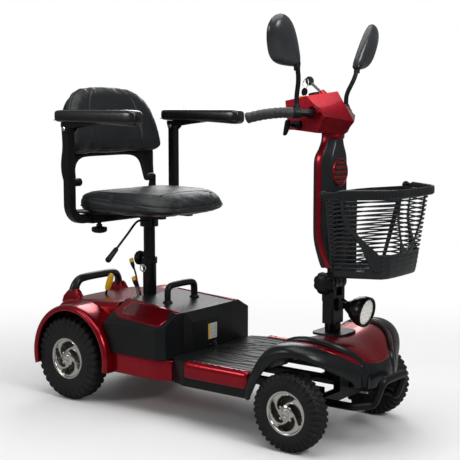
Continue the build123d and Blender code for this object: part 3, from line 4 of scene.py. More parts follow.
import bpy
import numpy as np
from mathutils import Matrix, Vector


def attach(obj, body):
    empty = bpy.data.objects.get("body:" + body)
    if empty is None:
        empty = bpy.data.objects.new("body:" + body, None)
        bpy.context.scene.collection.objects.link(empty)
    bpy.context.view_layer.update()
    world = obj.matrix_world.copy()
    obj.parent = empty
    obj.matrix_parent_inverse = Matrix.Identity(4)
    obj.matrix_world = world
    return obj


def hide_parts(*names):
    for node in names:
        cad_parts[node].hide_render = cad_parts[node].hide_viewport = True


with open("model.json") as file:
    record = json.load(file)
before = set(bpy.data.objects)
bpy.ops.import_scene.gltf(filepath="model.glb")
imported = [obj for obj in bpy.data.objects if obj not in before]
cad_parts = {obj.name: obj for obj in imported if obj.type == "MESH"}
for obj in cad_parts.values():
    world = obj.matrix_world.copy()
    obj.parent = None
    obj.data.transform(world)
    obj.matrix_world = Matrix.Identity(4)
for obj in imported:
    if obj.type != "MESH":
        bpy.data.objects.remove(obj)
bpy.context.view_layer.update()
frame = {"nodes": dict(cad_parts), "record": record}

NODES = frame["nodes"]
SIDES = ((-1, "r"), (1, "l"))
MM = 0.001

# Wall thickness of the covers in millimetres, and the subdivision of their skins.
WALL = 3.0
ARCH_WALL = 2.5
SHELL_WALL = 5.0
FINE = 2
# Axles: distance along x, half track, tyre radius, tyre width and rim radius.
REAR_X, REAR_Y, REAR_RADIUS, REAR_WIDE, REAR_RIM = -444, 188, 122, 60, 60
FRONT_X, FRONT_Y, FRONT_RADIUS, FRONT_WIDE, FRONT_RIM = 336, 209, 100, 55, 56
REAR_LUGS, FRONT_LUGS = 34, 36
SHAFT_END = 60
TREAD_DEPTH = 4.6
BLADES = 4
WINDOW_DEPTH = 15
# Seat: rear edge, half width, start and length of the rounded front, drop of its edge.
SEAT_REAR, SEAT_HALF, SEAT_NOSE, NOSE_LENGTH, SEAT_DROP = -436, 195, -230, 119, 20
# Backrest: hinge line and lean.
HINGE_X, HINGE_Z, BACK_LEAN = -447, 632, math.radians(12)
# Cloth solver for the cushions.
PRESSURE, SWELL, CLOTH_FRAMES, VOXEL, TENSION, BENDING = 4.0, 7.0, 20, 5.0, 12, 4
TINY = 1e-9
STITCH_PITCH, STITCH_LENGTH, STITCH_RADIUS, STITCH_LIFT = 6.0, 3.6, 0.45, 0.05
# Rear wheel arch, seat post, battery front face and armrests.
ARCH_X, ARCH_Z = -422, 135
POST_X = -309
BATTERY_FACE_X = -67.8
ARM_Y = 228
# Round vent on the tiller, mirrors, and basket.
VENT_Z, VENT_RADIUS, VENT_PITCH = 683, 32.8, 12.4
MIRROR_TURN = math.radians(11)
BASKET_X, BASKET_FLOOR_Z, BASKET_TALL, SLATS, BASKET_STEPS = 462, 432, 208, 16, 72
CARRY_Z = 643
# Floor fade to white, brightness of the surroundings, and the camera.
FADE_FROM, FADE_TO = 0.62, 1.9
FLOOR_SEEN, FLOOR_BOUNCE, SKY_SEEN, SKY_LIGHT = 0.88, 0.42, 1.0, 0.26
LENS, SENSOR = 83.5, 36
CAMERA_AT = (1.771, -2.348, 0.854)
CAMERA_DOWN, CAMERA_TURN = math.radians(90 - 6.68), math.radians(37.18)


# ---------------------------------------------------------------- materials


MATS = {}


def set_in(node, name, value):
    """Sets one input of a shader node."""
    node.inputs[name].default_value = value


def material(name, base, rough, metal=0.0, coat=0.0, tint=0.2, tint_scale=25, grain=900, bump=0.12,
             cells=False, wear=None, edge=0.0008, sheen=0.0, spec=0.5, rough_var=0.08):
    """A procedural finish: mottled colour, uneven roughness, fine bump, softened and worn edges.

    It is kept under its name."""
    mat = bpy.data.materials.new(name)
    mat.use_nodes = True
    tree = mat.node_tree
    links = tree.links
    add = tree.nodes.new
    shader = tree.nodes["Principled BSDF"]
    coords = add("ShaderNodeTexCoord")
    mottle = add("ShaderNodeTexNoise")
    set_in(mottle, "Scale", tint_scale)
    set_in(mottle, "Detail", 5)
    links.new(coords.outputs["Object"], mottle.inputs["Vector"])
    ramp = add("ShaderNodeValToRGB")
    ramp.color_ramp.elements[0].position = 0.3
    ramp.color_ramp.elements[1].position = 0.7
    ramp.color_ramp.elements[0].color = (*[c * (1 - tint) for c in base], 1)
    ramp.color_ramp.elements[1].color = (*[min(1, c * (1 + tint)) for c in base], 1)
    links.new(mottle.outputs["Fac"], ramp.inputs["Fac"])
    smudge = add("ShaderNodeTexNoise")
    set_in(smudge, "Scale", 9)
    set_in(smudge, "Detail", 6)
    links.new(coords.outputs["Object"], smudge.inputs["Vector"])
    uneven = add("ShaderNodeMapRange")
    set_in(uneven, "To Min", max(0.02, rough - rough_var))
    set_in(uneven, "To Max", min(1, rough + rough_var))
    links.new(smudge.outputs["Fac"], uneven.inputs["Value"])
    links.new(uneven.outputs["Result"], shader.inputs["Roughness"])
    if cells:
        fine = add("ShaderNodeTexVoronoi")
        fine.feature = "DISTANCE_TO_EDGE"
        height = fine.outputs["Distance"]
    else:
        fine = add("ShaderNodeTexNoise")
        set_in(fine, "Detail", 3)
        height = fine.outputs["Fac"]
    set_in(fine, "Scale", grain)
    links.new(coords.outputs["Object"], fine.inputs["Vector"])
    relief = add("ShaderNodeBump")
    set_in(relief, "Strength", bump)
    set_in(relief, "Distance", 0.0006)
    links.new(height, relief.inputs["Height"])
    links.new(relief.outputs["Normal"], shader.inputs["Normal"])
    colour = ramp.outputs["Color"]
    if edge:
        soft = add("ShaderNodeBevel")
        soft.samples = 4
        set_in(soft, "Radius", edge)
        links.new(soft.outputs["Normal"], relief.inputs["Normal"])
        if wear:
            flat = add("ShaderNodeNewGeometry")
            facing = add("ShaderNodeVectorMath")
            facing.operation = "DOT_PRODUCT"
            links.new(soft.outputs["Normal"], facing.inputs[0])
            links.new(flat.outputs["Normal"], facing.inputs[1])
            rubbed = add("ShaderNodeMapRange")
            set_in(rubbed, "From Min", 0.99)
            set_in(rubbed, "From Max", 0.86)
            set_in(rubbed, "To Max", 0.55)
            links.new(facing.outputs["Value"], rubbed.inputs["Value"])
            patch = add("ShaderNodeMath")
            patch.operation = "MULTIPLY"
            links.new(rubbed.outputs["Result"], patch.inputs[0])
            links.new(mottle.outputs["Fac"], patch.inputs[1])
            blend = add("ShaderNodeMix")
            blend.data_type = "RGBA"
            blend.inputs[7].default_value = (*wear, 1)
            links.new(patch.outputs["Value"], blend.inputs[0])
            links.new(colour, blend.inputs[6])
            colour = blend.outputs[2]
    links.new(colour, shader.inputs["Base Color"])
    set_in(shader, "Metallic", metal)
    set_in(shader, "Coat Weight", coat)
    set_in(shader, "Coat Roughness", 0.04)
    set_in(shader, "Sheen Weight", sheen)
    set_in(shader, "Specular IOR Level", spec)
    MATS[name] = mat
    return mat


material("tyre", (0.0075, 0.0075, 0.008), 0.58, tint=0.35, grain=1400, bump=0.35, edge=0, spec=0.28)
material("alloy", (0.56, 0.545, 0.51), 0.17, metal=1, tint=0.05, grain=2500, bump=0.03, edge=0.0006)
material("frame_black", (0.0045, 0.0045, 0.005), 0.32, tint=0.25, grain=2200, bump=0.10,
         wear=(0.035, 0.035, 0.04), spec=0.22)
material("steel", (0.34, 0.35, 0.37), 0.33, metal=1, tint=0.15, grain=2500, bump=0.08)
material("bright_metal", (0.72, 0.72, 0.71), 0.22, metal=1, tint=0.08, grain=2500, bump=0.05)
material("gear_case", (0.16, 0.16, 0.165), 0.5, metal=0.8, tint=0.2, grain=1500, bump=0.3)
material("red_gloss", (0.28, 0.0008, 0.0090), 0.26, metal=0.82, coat=0.26, tint=0.10, tint_scale=60,
         grain=6000, bump=0.02, wear=(0.42, 0.012, 0.026), rough_var=0.04)
material("black_plastic", (0.0065, 0.0072, 0.008), 0.34, tint=0.2, grain=1700, bump=0.18,
         wear=(0.045, 0.045, 0.05), spec=0.2)
material("gloss_black", (0.005, 0.005, 0.0055), 0.20, tint=0.2, grain=3000, bump=0.02,
         wear=(0.03, 0.03, 0.03), spec=0.25)
material("yellow_plastic", (0.85, 0.50, 0.015), 0.36, tint=0.08, grain=1500, bump=0.12,
         wear=(0.95, 0.75, 0.25))
material("seat_vinyl", (0.0085, 0.011, 0.012), 0.40, tint=0.18, tint_scale=40, grain=620, bump=0.45,
         cells=True, edge=0, sheen=0.02, spec=0.3)
material("pad_skin", (0.006, 0.006, 0.0065), 0.22, tint=0.2, grain=900, bump=0.12, cells=True, edge=0.0012,
         coat=0.2)
material("grip_foam", (0.013, 0.0135, 0.0145), 0.5, tint=0.3, grain=1300, bump=0.5, edge=0.001, sheen=0.15)
material("deep_red", (0.070, 0.0012, 0.003), 0.12, coat=0.6, tint=0.2, grain=5000,
         bump=0.02, edge=0.0005)
# Near-black painted shade for recesses: the wheel windows and inner lip, the vent hollow and the freewheel
# slot.
material("painted_shade", (0.004, 0.004, 0.004), 0.6, tint=0.2, edge=0)
material("satin_grey", (0.0115, 0.013, 0.015), 0.27, tint=0.15, grain=1500, bump=0.12,
         wear=(0.06, 0.06, 0.065), edge=0.001, spec=0.34)
# A lighter copy of satin_grey for the mirror backs; the extra lightness is a painted highlight.
material("mirror_back_painted_highlight", (0.030, 0.033, 0.037), 0.25, tint=0.12, grain=1500, bump=0.08,
         wear=(0.10, 0.10, 0.105), edge=0.001, spec=0.45)
material("fairing_black", (0.0075, 0.0085, 0.0095), 0.26, tint=0.15, grain=1500,
         bump=0.12, wear=(0.05, 0.05, 0.055), edge=0.001, spec=0.28)
material("label_white", (0.78, 0.78, 0.76), 0.42, tint=0.03, edge=0)
material("mirror_glass", (0.80, 0.83, 0.85), 0.03, metal=1, tint=0.02, grain=40,
         bump=0.004, edge=0, rough_var=0.01)
material("grey_cable", (0.16, 0.16, 0.17), 0.5, tint=0.1, grain=1800, bump=0.2,
         edge=0)


def led_material():
    """A pale faceted lamp lens."""
    mat = material("led_lens", (0.80, 0.80, 0.76), 0.12, tint=0.12, tint_scale=220,
                   grain=260, bump=0.8, cells=True, coat=1, edge=0)
    shader = mat.node_tree.nodes["Principled BSDF"]
    set_in(shader, "Emission Color", (1, 0.98, 0.92, 1))
    set_in(shader, "Emission Strength", 0.12)


led_material()

SLOT_OF = {part.get("node") or part.get("name"): part["material_slot"]
           for part in frame["record"]["subparts"]}


# ---------------------------------------------------------------- mesh helpers


def smooth(obj, angle=40):
    """Smooth shading that keeps corners sharper than angle degrees."""
    obj.data.shade_smooth()
    if angle:
        obj.data.set_sharp_from_angle(angle=math.radians(angle))


def make(name, verts, faces, finish, body, replaces=(), angle=40, second=None, face_mats=None):
    """A mesh piece from points in millimetres, riding on a body."""
    mesh = bpy.data.meshes.new(name)
    mesh.from_pydata([tuple(c * MM for c in v) for v in verts], [], faces)
    obj = bpy.data.objects.new(name, mesh)
    bpy.context.scene.collection.objects.link(obj)
    for one in (finish, second) if second else (finish,):
        mesh.materials.append(MATS[one])
    if face_mats:
        for polygon, index in zip(mesh.polygons, face_mats):
            polygon.material_index = index
    mesh.validate()
    smooth(obj, angle)
    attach(obj, body)
    if replaces:
        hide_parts(*replaces)
    return obj


def modify(obj, kind, **settings):
    """A modifier of one kind with its settings."""
    modifier = obj.modifiers.new(kind.lower(), kind)
    for key, value in settings.items():
        setattr(modifier, key, value)
    return modifier


def sheet(name, grid, finish, body, thick=WALL, levels=FINE, replaces=(), keep=None, face=None):
    """A curved panel from a grid of points, smoothed and given a wall thickness behind face."""
    rows, cols = len(grid), len(grid[0])
    verts = [p for row in grid for p in row]
    faces = []
    for r in range(rows - 1):
        for c in range(cols - 1):
            if keep and not keep(r, c):
                continue
            quad = (r * cols + c, r * cols + c + 1, (r + 1) * cols + c + 1, (r + 1) * cols + c)
            faces.append(quad)
    if face:
        total = Vector((0, 0, 0))
        for quad in faces:
            a, b, c, d = (Vector(verts[i]) for i in quad)
            total += (c - a).cross(d - b)
        if total.dot(Vector(face)) < 0:
            faces = [tuple(reversed(quad)) for quad in faces]
    used = sorted({i for f in faces for i in f})
    index = {old: new for new, old in enumerate(used)}
    obj = make(name, [verts[i] for i in used], [tuple(index[i] for i in f) for f in faces], finish, body,
               replaces, angle=0)
    if levels:
        modify(obj, "SUBSURF", levels=levels, render_levels=levels)
    modify(obj, "SOLIDIFY", thickness=thick * MM, offset=-1)
    return obj


def mirrored(grid):
    """A grid whose rows run from the centre plane outward, continued on the other side."""
    other = [[(x, -y, z) for x, y, z in row] for row in reversed(grid[1:])]
    return other + grid


def turn(count):
    """Angles of a full turn in equal steps."""
    return [2 * math.pi * k / count for k in range(count)]


def ring_faces(count, size, closed_ends=True):
    """Quads between rings of equally many points, with or without end caps."""
    faces = []
    for r in range(count - 1):
        for c in range(size):
            d = (c + 1) % size
            faces.append((r * size + c, r * size + d, (r + 1) * size + d, (r + 1) * size + c))
    if closed_ends:
        faces.append(tuple(range(size - 1, -1, -1)))
        faces.append(tuple((count - 1) * size + c for c in range(size)))
    return faces


def closing_faces(count, size):
    """Quads that join the last ring to the first."""
    last = (count - 1) * size
    return [(last + c, last + (c + 1) % size, (c + 1) % size, c) for c in range(size)]


def add_rings(store, rings, faces):
    """Adds rings of points and their faces to a shared pair of lists."""
    base = len(store[0])
    store[0].extend(p for ring in rings for p in ring)
    store[1].extend(tuple(i + base for i in f) for f in faces)


def loft(name, rings, finish, body, levels=1, replaces=(), angle=0, bevel=0):
    """A closed solid through rings of equally many points."""
    size = len(rings[0])
    obj = make(name, [p for ring in rings for p in ring], ring_faces(len(rings), size), finish, body,
               replaces, angle=angle)
    if bevel:
        modify(obj, "BEVEL", width=bevel * MM, segments=3, limit_method="ANGLE",
               angle_limit=math.radians(35))
    if levels:
        modify(obj, "SUBSURF", levels=levels, render_levels=levels)
    return obj


def prism(name, outline, origin, u, v, depth, finish, body, bevel=1.0):
    """A plate of some depth behind a flat outline in the plane of u and v, with softened edges."""
    u, v, origin = Vector(u).normalized(), Vector(v).normalized(), Vector(origin)
    n = u.cross(v)
    front = [tuple(origin + u * a + v * b) for a, b in outline]
    back = [tuple(Vector(p) - n * depth) for p in front]
    count = len(outline)
    faces = [tuple(range(count)), tuple(range(2 * count - 1, count - 1, -1))]
    for i in range(count):
        j = (i + 1) % count
        faces.append((i, i + count, j + count, j))
    obj = make(name, front + back, faces, finish, body, angle=35)
    if bevel:
        modify(obj, "BEVEL", width=bevel * MM, segments=3, limit_method="ANGLE",
               angle_limit=math.radians(30))
    return obj


def catmull(points, per=8, closed=False):
    """A smooth path through points."""
    pts = [Vector(p) for p in points]
    n = len(pts)
    out = []
    last = n if closed else n - 1
    for i in range(last):
        p0 = pts[(i - 1) % n] if closed or i > 0 else pts[0] * 2 - pts[1]
        p1, p2 = pts[i % n], pts[(i + 1) % n]
        p3 = pts[(i + 2) % n] if closed or i + 2 < n else pts[-1] * 2 - pts[-2]
        for k in range(per):
            t = k / per
            out.append(0.5 * ((2 * p1) + (p2 - p0) * t + (2 * p0 - 5 * p1 + 4 * p2 - p3) * t * t
                              + (3 * p1 - p0 - 3 * p2 + p3) * t * t * t))
    if not closed:
        out.append(pts[-1])
    return out


def tube(name, path, radius, finish=None, body=None, sides=12, replaces=(), flat=1.0, closed=False,
         add_to=None):
    """A round bar along a path; radius may be one number or one per point."""
    pts = [Vector(p) for p in path]
    n = len(pts)
    radii = radius if isinstance(radius, (list, tuple)) else [radius] * n
    rings = []
    up = None
    for i, p in enumerate(pts):
        if closed:
            tangent = (pts[(i + 1) % n] - pts[i - 1]).normalized()
        else:
            tangent = (pts[min(i + 1, n - 1)] - pts[max(i - 1, 0)]).normalized()
        if up is None:
            up = tangent.orthogonal().normalized()
            if abs(tangent.z) < 0.9:
                up = (Vector((0, 0, 1)) - tangent * tangent.z).normalized()
        up = (up - tangent * up.dot(tangent)).normalized()
        side = tangent.cross(up)
        rings.append([tuple(p + (side * math.cos(a) + up * flat * math.sin(a)) * radii[i])
                      for a in turn(sides)])
    faces = ring_faces(n, sides, not closed)
    if closed:
        faces += closing_faces(n, sides)
    if add_to is not None:
        add_rings(add_to, rings, faces)
        return None
    return make(name, [p for ring in rings for p in ring], faces, finish, body, replaces, angle=50)


def lathe(name, profile, centre, axis, finish=None, body=None, steps=64, replaces=(), add_to=None):
    """A turned piece: profile pairs are (distance along the axis, radius)."""
    axis = Vector(axis).normalized()
    u = axis.orthogonal().normalized()
    v = axis.cross(u)
    centre = Vector(centre)
    rings = [[tuple(centre + axis * d + (u * math.cos(a) + v * math.sin(a)) * r) for a in turn(steps)]
             for d, r in profile]
    faces = ring_faces(len(profile), steps)
    if add_to is not None:
        add_rings(add_to, rings, faces)
        return None
    return make(name, [p for ring in rings for p in ring], faces, finish, body, replaces, angle=35)


# ---------------------------------------------------------------- wheels


def step(x, low, high):
    """A soft step from 0 at low to 1 at high."""
    t = np.clip((x - low) / (high - low), 0, 1)
    return t * t * (3 - 2 * t)


def tyre(name, body, x, y, radius, width, rim_r, lugs, chevron):
    """A pneumatic-look tyre with moulded lugs that run over the shoulders."""
    half = width / 2
    height = radius - rim_r
    profile = [(-half + 7, rim_r - 4), (-half + 4, rim_r + 1), (-half + 1.5, rim_r + 0.25 * height),
               (-half + 0.3, rim_r + 0.48 * height), (-half + 0.8, rim_r + 0.62 * height)]
    for k in range(23):
        a = math.pi * (k / 22)
        c, s = math.cos(a), math.sin(a)
        w = half - 1.2
        lift = height * 0.30
        profile.append((-w * (abs(c) ** 0.62) * (1 if c > 0 else -1),
                        radius - lift + lift * (max(s, 0) ** 0.62)))
    profile += [(-o, r) for o, r in reversed(profile[:5])]
    offsets = np.array([p[0] for p in profile])
    radii = np.array([p[1] for p in profile])
    count = lugs * 10
    theta = np.arange(count) * 2 * math.pi / count
    lateral = offsets / half
    verts = []
    tread = step(radii, radius - height * 0.42, radius - height * 0.36)
    for t in theta:
        phase = t * lugs / (2 * math.pi)
        if chevron:
            local = (phase + 0.55 * np.abs(lateral)) % 1
            bar = step(local, 0.05, 0.16) * (1 - step(local, 0.60, 0.71))
            middle = step(np.abs(lateral), 0.05, 0.12)
            block = np.maximum(bar * middle, 0.35 * (1 - middle))
        else:
            outer = phase % 1
            inner = (phase + 0.5 + 0.25 * np.sign(lateral)) % 1
            shoulder = step(np.abs(lateral), 0.60, 0.68)
            bar_o = step(outer, 0.08, 0.20) * (1 - step(outer, 0.62, 0.74))
            bar_i = step(inner, 0.05, 0.17) * (1 - step(inner, 0.66, 0.78))
            groove = step(np.abs(np.abs(lateral) - 0.62), 0.02, 0.08)
            centre = step(np.abs(lateral), 0.03, 0.09)
            block = (bar_o * shoulder + bar_i * (1 - shoulder) * centre) * groove
        depth = TREAD_DEPTH * tread * (1 - block)
        for o, r, d in zip(offsets, radii, depth):
            rr = r - d * 0.9
            oo = o - np.sign(o) * d * 0.55 * min(1, abs(o) / half) ** 3
            verts.append((x + rr * math.cos(t), y + oo, radius + rr * math.sin(t)))
    n = len(profile)
    faces = []
    for k in range(count):
        m = (k + 1) % count
        for c in range(n - 1):
            faces.append((k * n + c, k * n + c + 1, m * n + c + 1, m * n + c))
        faces.append((k * n + n - 1, k * n, m * n, m * n + n - 1))
    return make(name, verts, faces, "tyre", body, (name.replace("_skin", ""),), angle=45)


def rim(name, body, side, x, y, z, width, rim_r, shaft_to):
    """An alloy wheel: bright lip, four swept blades around dark windows, hub cap and four bolts."""
    steps = 168
    half = width / 2
    rows = []
    radii = list(np.linspace(9, rim_r - 6.5, 30))
    for r in radii:
        t = (r - 0.36 * rim_r) / (0.50 * rim_r)
        ring = []
        for a in turn(steps):
            face = half - 9
            face += 4.5 * math.exp(-((r - 0.20 * rim_r) / (0.16 * rim_r)) ** 2)
            mark = 0
            if -0.02 < t < 1.02:
                tt = min(max(t, 0), 1)
                sweep = -(0.95 * tt + 0.25 * tt * tt)
                local = ((a - sweep) / (math.pi / 2)) % 1
                wide = 0.40 * math.sin(math.pi * min(1, (tt * 0.93 + 0.07)) ** 0.75) ** 0.55
                gap = wide - abs(local - 0.5)
                if gap > 0:
                    mark = min(1, gap / 0.05)
                blade = 1 - min(1, abs(gap) / 0.12) if gap < 0 else 0
                face += 1.5 * blade
            ring.append((r, a, face - WINDOW_DEPTH * (mark ** 0.6), mark))
        rows.append(ring)
    verts, faces, marks = [], [], []
    for ring in rows:
        for r, a, d, mark in ring:
            verts.append((x + r * math.cos(a), y + side * d, z + r * math.sin(a)))
    lip = [(half - 9, rim_r - 6.3), (half - 6.5, rim_r - 5.6), (half - 4.6, rim_r - 3.6),
           (half - 4.4, rim_r - 0.6), (half - 5.8, rim_r + 1.4), (half - 8.5, rim_r + 1.2),
           (half - 11, rim_r - 2), (-half + 11, rim_r - 2), (-half + 7, rim_r + 1), (-half + 5.5, rim_r - 1),
           (-half + 6, rim_r - 4), (-half + 12, rim_r - 6), (-half + 14, 20), (-half + 10, 18),
           (-half + 10, 9)]
    for d, r in lip:
        for a in turn(steps):
            verts.append((x + r * math.cos(a), y + side * d, z + r * math.sin(a)))
    total = len(rows) + len(lip)
    for i in range(total - 1):
        for k in range(steps):
            m = (k + 1) % steps
            quad = (i * steps + k, (i + 1) * steps + k, (i + 1) * steps + m, i * steps + m)
            faces.append(quad if side > 0 else tuple(reversed(quad)))
            deep = i + 1 < len(rows) and (rows[i][k][3] + rows[i + 1][m][3]) / 2 > 0.8
            marks.append(1 if deep or i > len(rows) + 5 else 0)
    store = [verts, faces]
    cap = [(half - 10, 12), (half - 4.5, 12), (half - 2.6, 10.8), (half - 2.2, 8.5), (half - 2.8, 7.8),
           (half - 2.8, 1)]
    lathe(None, [(side * d, r) for d, r in cap], (x, y, z), (0, 1, 0), steps=40, add_to=store)
    marks += [0] * (len(faces) - len(marks))
    for k in range(BLADES):
        a = 2 * math.pi * (k + 0.5) / BLADES
        bolt = (x + 20 * math.cos(a), y, z + 20 * math.sin(a))
        lathe(None, [(side * (half - 10), 3.6), (side * (half - 3.6), 3.6), (side * (half - 3), 3.0)], bolt,
              (0, 1, 0), steps=6, add_to=store)
    marks += [0] * (len(faces) - len(marks))
    if shaft_to is not None:
        lathe(None, [(side * (shaft_to - abs(y)), 10), (side * (half - 12), 10)], (x, y, z), (0, 1, 0),
              steps=32, add_to=store)
        marks += [0] * (len(faces) - len(marks))
    return make(name, verts, faces, "alloy", body, (name.replace("_face", ""),), angle=50,
                second="painted_shade", face_mats=marks)


for side, tag in SIDES:
    tyre(f"rear_tyre_{tag}_skin", f"rear_wheel_{tag}", REAR_X, side * REAR_Y, REAR_RADIUS, REAR_WIDE,
         REAR_RIM, REAR_LUGS, True)
    tyre(f"front_tyre_{tag}_skin", f"front_wheel_{tag}", FRONT_X, side * FRONT_Y, FRONT_RADIUS, FRONT_WIDE,
         FRONT_RIM, FRONT_LUGS, False)
    rim(f"rear_rim_{tag}_face", f"rear_wheel_{tag}", side, REAR_X, side * REAR_Y, REAR_RADIUS, REAR_WIDE,
        REAR_RIM, SHAFT_END)
    rim(f"front_rim_{tag}_face", f"front_wheel_{tag}", side, FRONT_X, side * FRONT_Y, FRONT_RADIUS,
        FRONT_WIDE, FRONT_RIM, None)


# ---------------------------------------------------------------- front fairing

# Rows of the fairing from the centre plane outward, each from the deck forward to the nose.
FAIRING = [
    [(203, 0, 172), (236, 0, 216), (265, 0, 240), (290, 0, 252), (325, 0, 255), (360, 0, 262), (395, 0, 259),
     (425, 0, 250), (450, 0, 234), (474, 0, 206), (483, 0, 180), (480, 0, 147)],
    [(203, 48, 172), (236, 48, 217), (265, 48, 242), (290, 48, 255), (325, 48, 259), (360, 46, 266),
     (395, 42, 263), (425, 38, 253), (450, 34, 236), (474, 30, 209), (482, 30, 181), (479, 30, 147)],
    [(203, 100, 172), (236, 100, 219), (265, 100, 246), (290, 100, 260), (325, 100, 266), (360, 98, 270),
     (395, 92, 267), (423, 80, 256), (447, 66, 240), (469, 50, 213), (479, 50, 182), (477, 50, 147)],
    [(203, 138, 172), (236, 138, 221), (265, 138, 250), (290, 138, 264), (325, 138, 271), (358, 137, 272),
     (392, 130, 267), (420, 112, 256), (442, 88, 240), (463, 60, 214), (474, 60, 182), (473, 60, 147)],
    [(203, 142, 172), (236, 142, 223), (264, 142, 254), (289, 142, 271), (325, 142, 280), (359, 141, 281),
     (395, 134, 276), (424, 116, 264), (447, 91, 247), (467, 63, 220), (477, 63, 184), (475, 63, 148)],
    [(203, 151, 172), (236, 151, 223), (264, 151, 254), (289, 151, 271), (325, 151, 280), (360, 150, 281),
     (398, 142, 275), (428, 123, 263), (450, 97, 246), (469, 69, 219), (477, 69, 184), (474, 69, 148)],
    [(203, 155, 172), (236, 155, 221), (264, 155, 249), (289, 155, 262), (325, 155, 268), (360, 154, 268),
     (397, 147, 262), (427, 128, 249), (448, 103, 234), (466, 76, 211), (474, 75, 182), (471, 75, 149)],
    [(203, 176, 172), (237, 177, 222), (262, 178, 248), (289, 178, 262), (325, 178, 267), (357, 178, 267),
     (390, 172, 261), (417, 154, 249), (440, 124, 234), (460, 90, 211), (469, 86, 182), (467, 86, 151)],
    [(203, 182, 172), (237, 183, 225), (262, 184, 253), (289, 184, 267), (325, 184, 273), (356, 184, 273),
     (390, 178, 266), (417, 159, 253), (440, 128, 238), (461, 94, 214), (470, 89, 182), (467, 89, 151)],
    [(203, 205, 160), (236, 208, 216), (259, 210, 246), (287, 211, 264), (325, 212, 273), (353, 212, 273),
     (387, 203, 266), (415, 182, 251), (438, 147, 234), (459, 104, 206), (467, 97, 180), (464, 97, 153)],
    [(205, 226, 142), (232, 229, 196), (255, 230, 232), (285, 231, 255), (325, 231, 266), (352, 230, 267),
     (386, 219, 259), (414, 197, 243), (438, 160, 222), (458, 112, 195), (464, 104, 176), (462, 104, 156)],
    [(212, 237, 122), (231, 238, 172), (253, 238, 212), (284, 238, 240), (325, 238, 254), (352, 237, 256),
     (386, 227, 250), (414, 206, 234), (437, 169, 213), (456, 119, 186), (461, 109, 171), (460, 109, 158)],
    [(224, 236, 114), (240, 237, 150), (258, 237, 184), (288, 237, 220), (325, 237, 239), (352, 236, 244),
     (384, 227, 241), (411, 207, 226), (434, 171, 205), (453, 121, 178), (459, 111, 167), (459, 109, 160)],
    [(226, 231, 115), (242, 232, 151), (260, 232, 184), (289, 232, 219), (325, 232, 237), (351, 231, 242),
     (382, 223, 239), (408, 204, 224), (431, 169, 204), (450, 120, 178), (456, 110, 167), (456, 108, 161)],
]


def front_body():
    """Black fairing, red hood between its ribs and the red inlays beside them."""
    full = mirrored(FAIRING)
    last = len(FAIRING) - 1

    def lateral(r):
        return abs(r - last) if r >= last else last - 1 - r

    def is_hood(r, c):
        return lateral(r) < 3 and 3 <= c < 9

    def is_inlay(r, c):
        return lateral(r) == 6 and 3 <= c < 9

    sheet("front_fairing_skin", full, "fairing_black", "chassis", WALL, FINE, ("front_fairing",),
          keep=lambda r, c: not is_hood(r, c) and not is_inlay(r, c))
    sheet("front_hood_skin", full, "red_gloss", "chassis", WALL, FINE, ("front_hood",), keep=is_hood)
    sheet("front_inlay", full, "red_gloss", "chassis", WALL, FINE, keep=is_inlay)


front_body()


# ---------------------------------------------------------------- soft goods


def inflate(obj):
    """Swells a closed form with the cloth solver, keeping each point near where it began."""
    bpy.context.view_layer.objects.active = obj
    for other in bpy.context.selected_objects:
        other.select_set(False)
    obj.select_set(True)
    remesh = modify(obj, "REMESH", mode="VOXEL", voxel_size=VOXEL * MM)
    bpy.ops.object.modifier_apply(modifier=remesh.name)
    mesh = obj.data
    rest = np.zeros(len(mesh.vertices) * 3)
    mesh.vertices.foreach_get("co", rest)
    rest = rest.reshape(-1, 3)
    cloth = modify(obj, "CLOTH")
    cloth.settings.use_pressure = True
    cloth.settings.uniform_pressure_force = PRESSURE
    cloth.settings.effector_weights.gravity = 0
    cloth.settings.tension_stiffness = TENSION
    cloth.settings.bending_stiffness = BENDING
    cloth.point_cache.frame_start = 1
    cloth.point_cache.frame_end = CLOTH_FRAMES
    scene = bpy.context.scene
    for f in range(1, CLOTH_FRAMES + 1):
        scene.frame_set(f)
    bpy.ops.object.modifier_apply(modifier=cloth.name)
    scene.frame_set(1)
    mesh = obj.data
    moved = np.zeros(len(mesh.vertices) * 3)
    mesh.vertices.foreach_get("co", moved)
    moved = moved.reshape(-1, 3)
    shift = moved - rest
    size = np.linalg.norm(shift, axis=1)
    limit = SWELL * MM
    scale = np.where(size > TINY, limit * np.tanh(size / limit) / np.maximum(size, TINY), 1)
    mesh.vertices.foreach_set("co", (rest + shift * scale[:, None]).ravel())
    mesh.update()
    relax = modify(obj, "SMOOTH", factor=0.5, iterations=3)
    bpy.ops.object.modifier_apply(modifier=relax.name)
    refine = modify(obj, "SUBSURF", levels=1, render_levels=1)
    bpy.ops.object.modifier_apply(modifier=refine.name)
    obj.data.shade_smooth()


def sew(obj, paths, depth=2.4, width=2.6):
    """Presses seams into a soft piece along paths in millimetres."""
    mesh = obj.data
    count = len(mesh.vertices)
    co = np.zeros(count * 3)
    mesh.vertices.foreach_get("co", co)
    co = co.reshape(-1, 3) / MM
    normals = np.array([tuple(v.normal) for v in mesh.vertices])
    press = np.zeros(count)
    for path in paths:
        pts = np.array([tuple(p) for p in path], float)
        best = np.full(count, 1e9)
        for a, b in zip(pts[:-1], pts[1:]):
            d = b - a
            t = np.clip(((co - a) @ d) / max(d @ d, TINY), 0, 1)
            best = np.minimum(best, np.linalg.norm(co - (a + t[:, None] * d), axis=1))
        press = np.maximum(press, np.exp(-(best / width) ** 2))
    co -= normals * (press * depth)[:, None]
    mesh.vertices.foreach_set("co", (co * MM).ravel())
    mesh.update()


def snap(obj, path, lift=0.0):
    """Drops path points onto the nearest surface of obj, raised by lift."""
    out = []
    for p in path:
        _, place, normal, _ = obj.closest_point_on_mesh(Vector(p) * MM)
        out.append(tuple(place / MM + normal * lift))
    return out


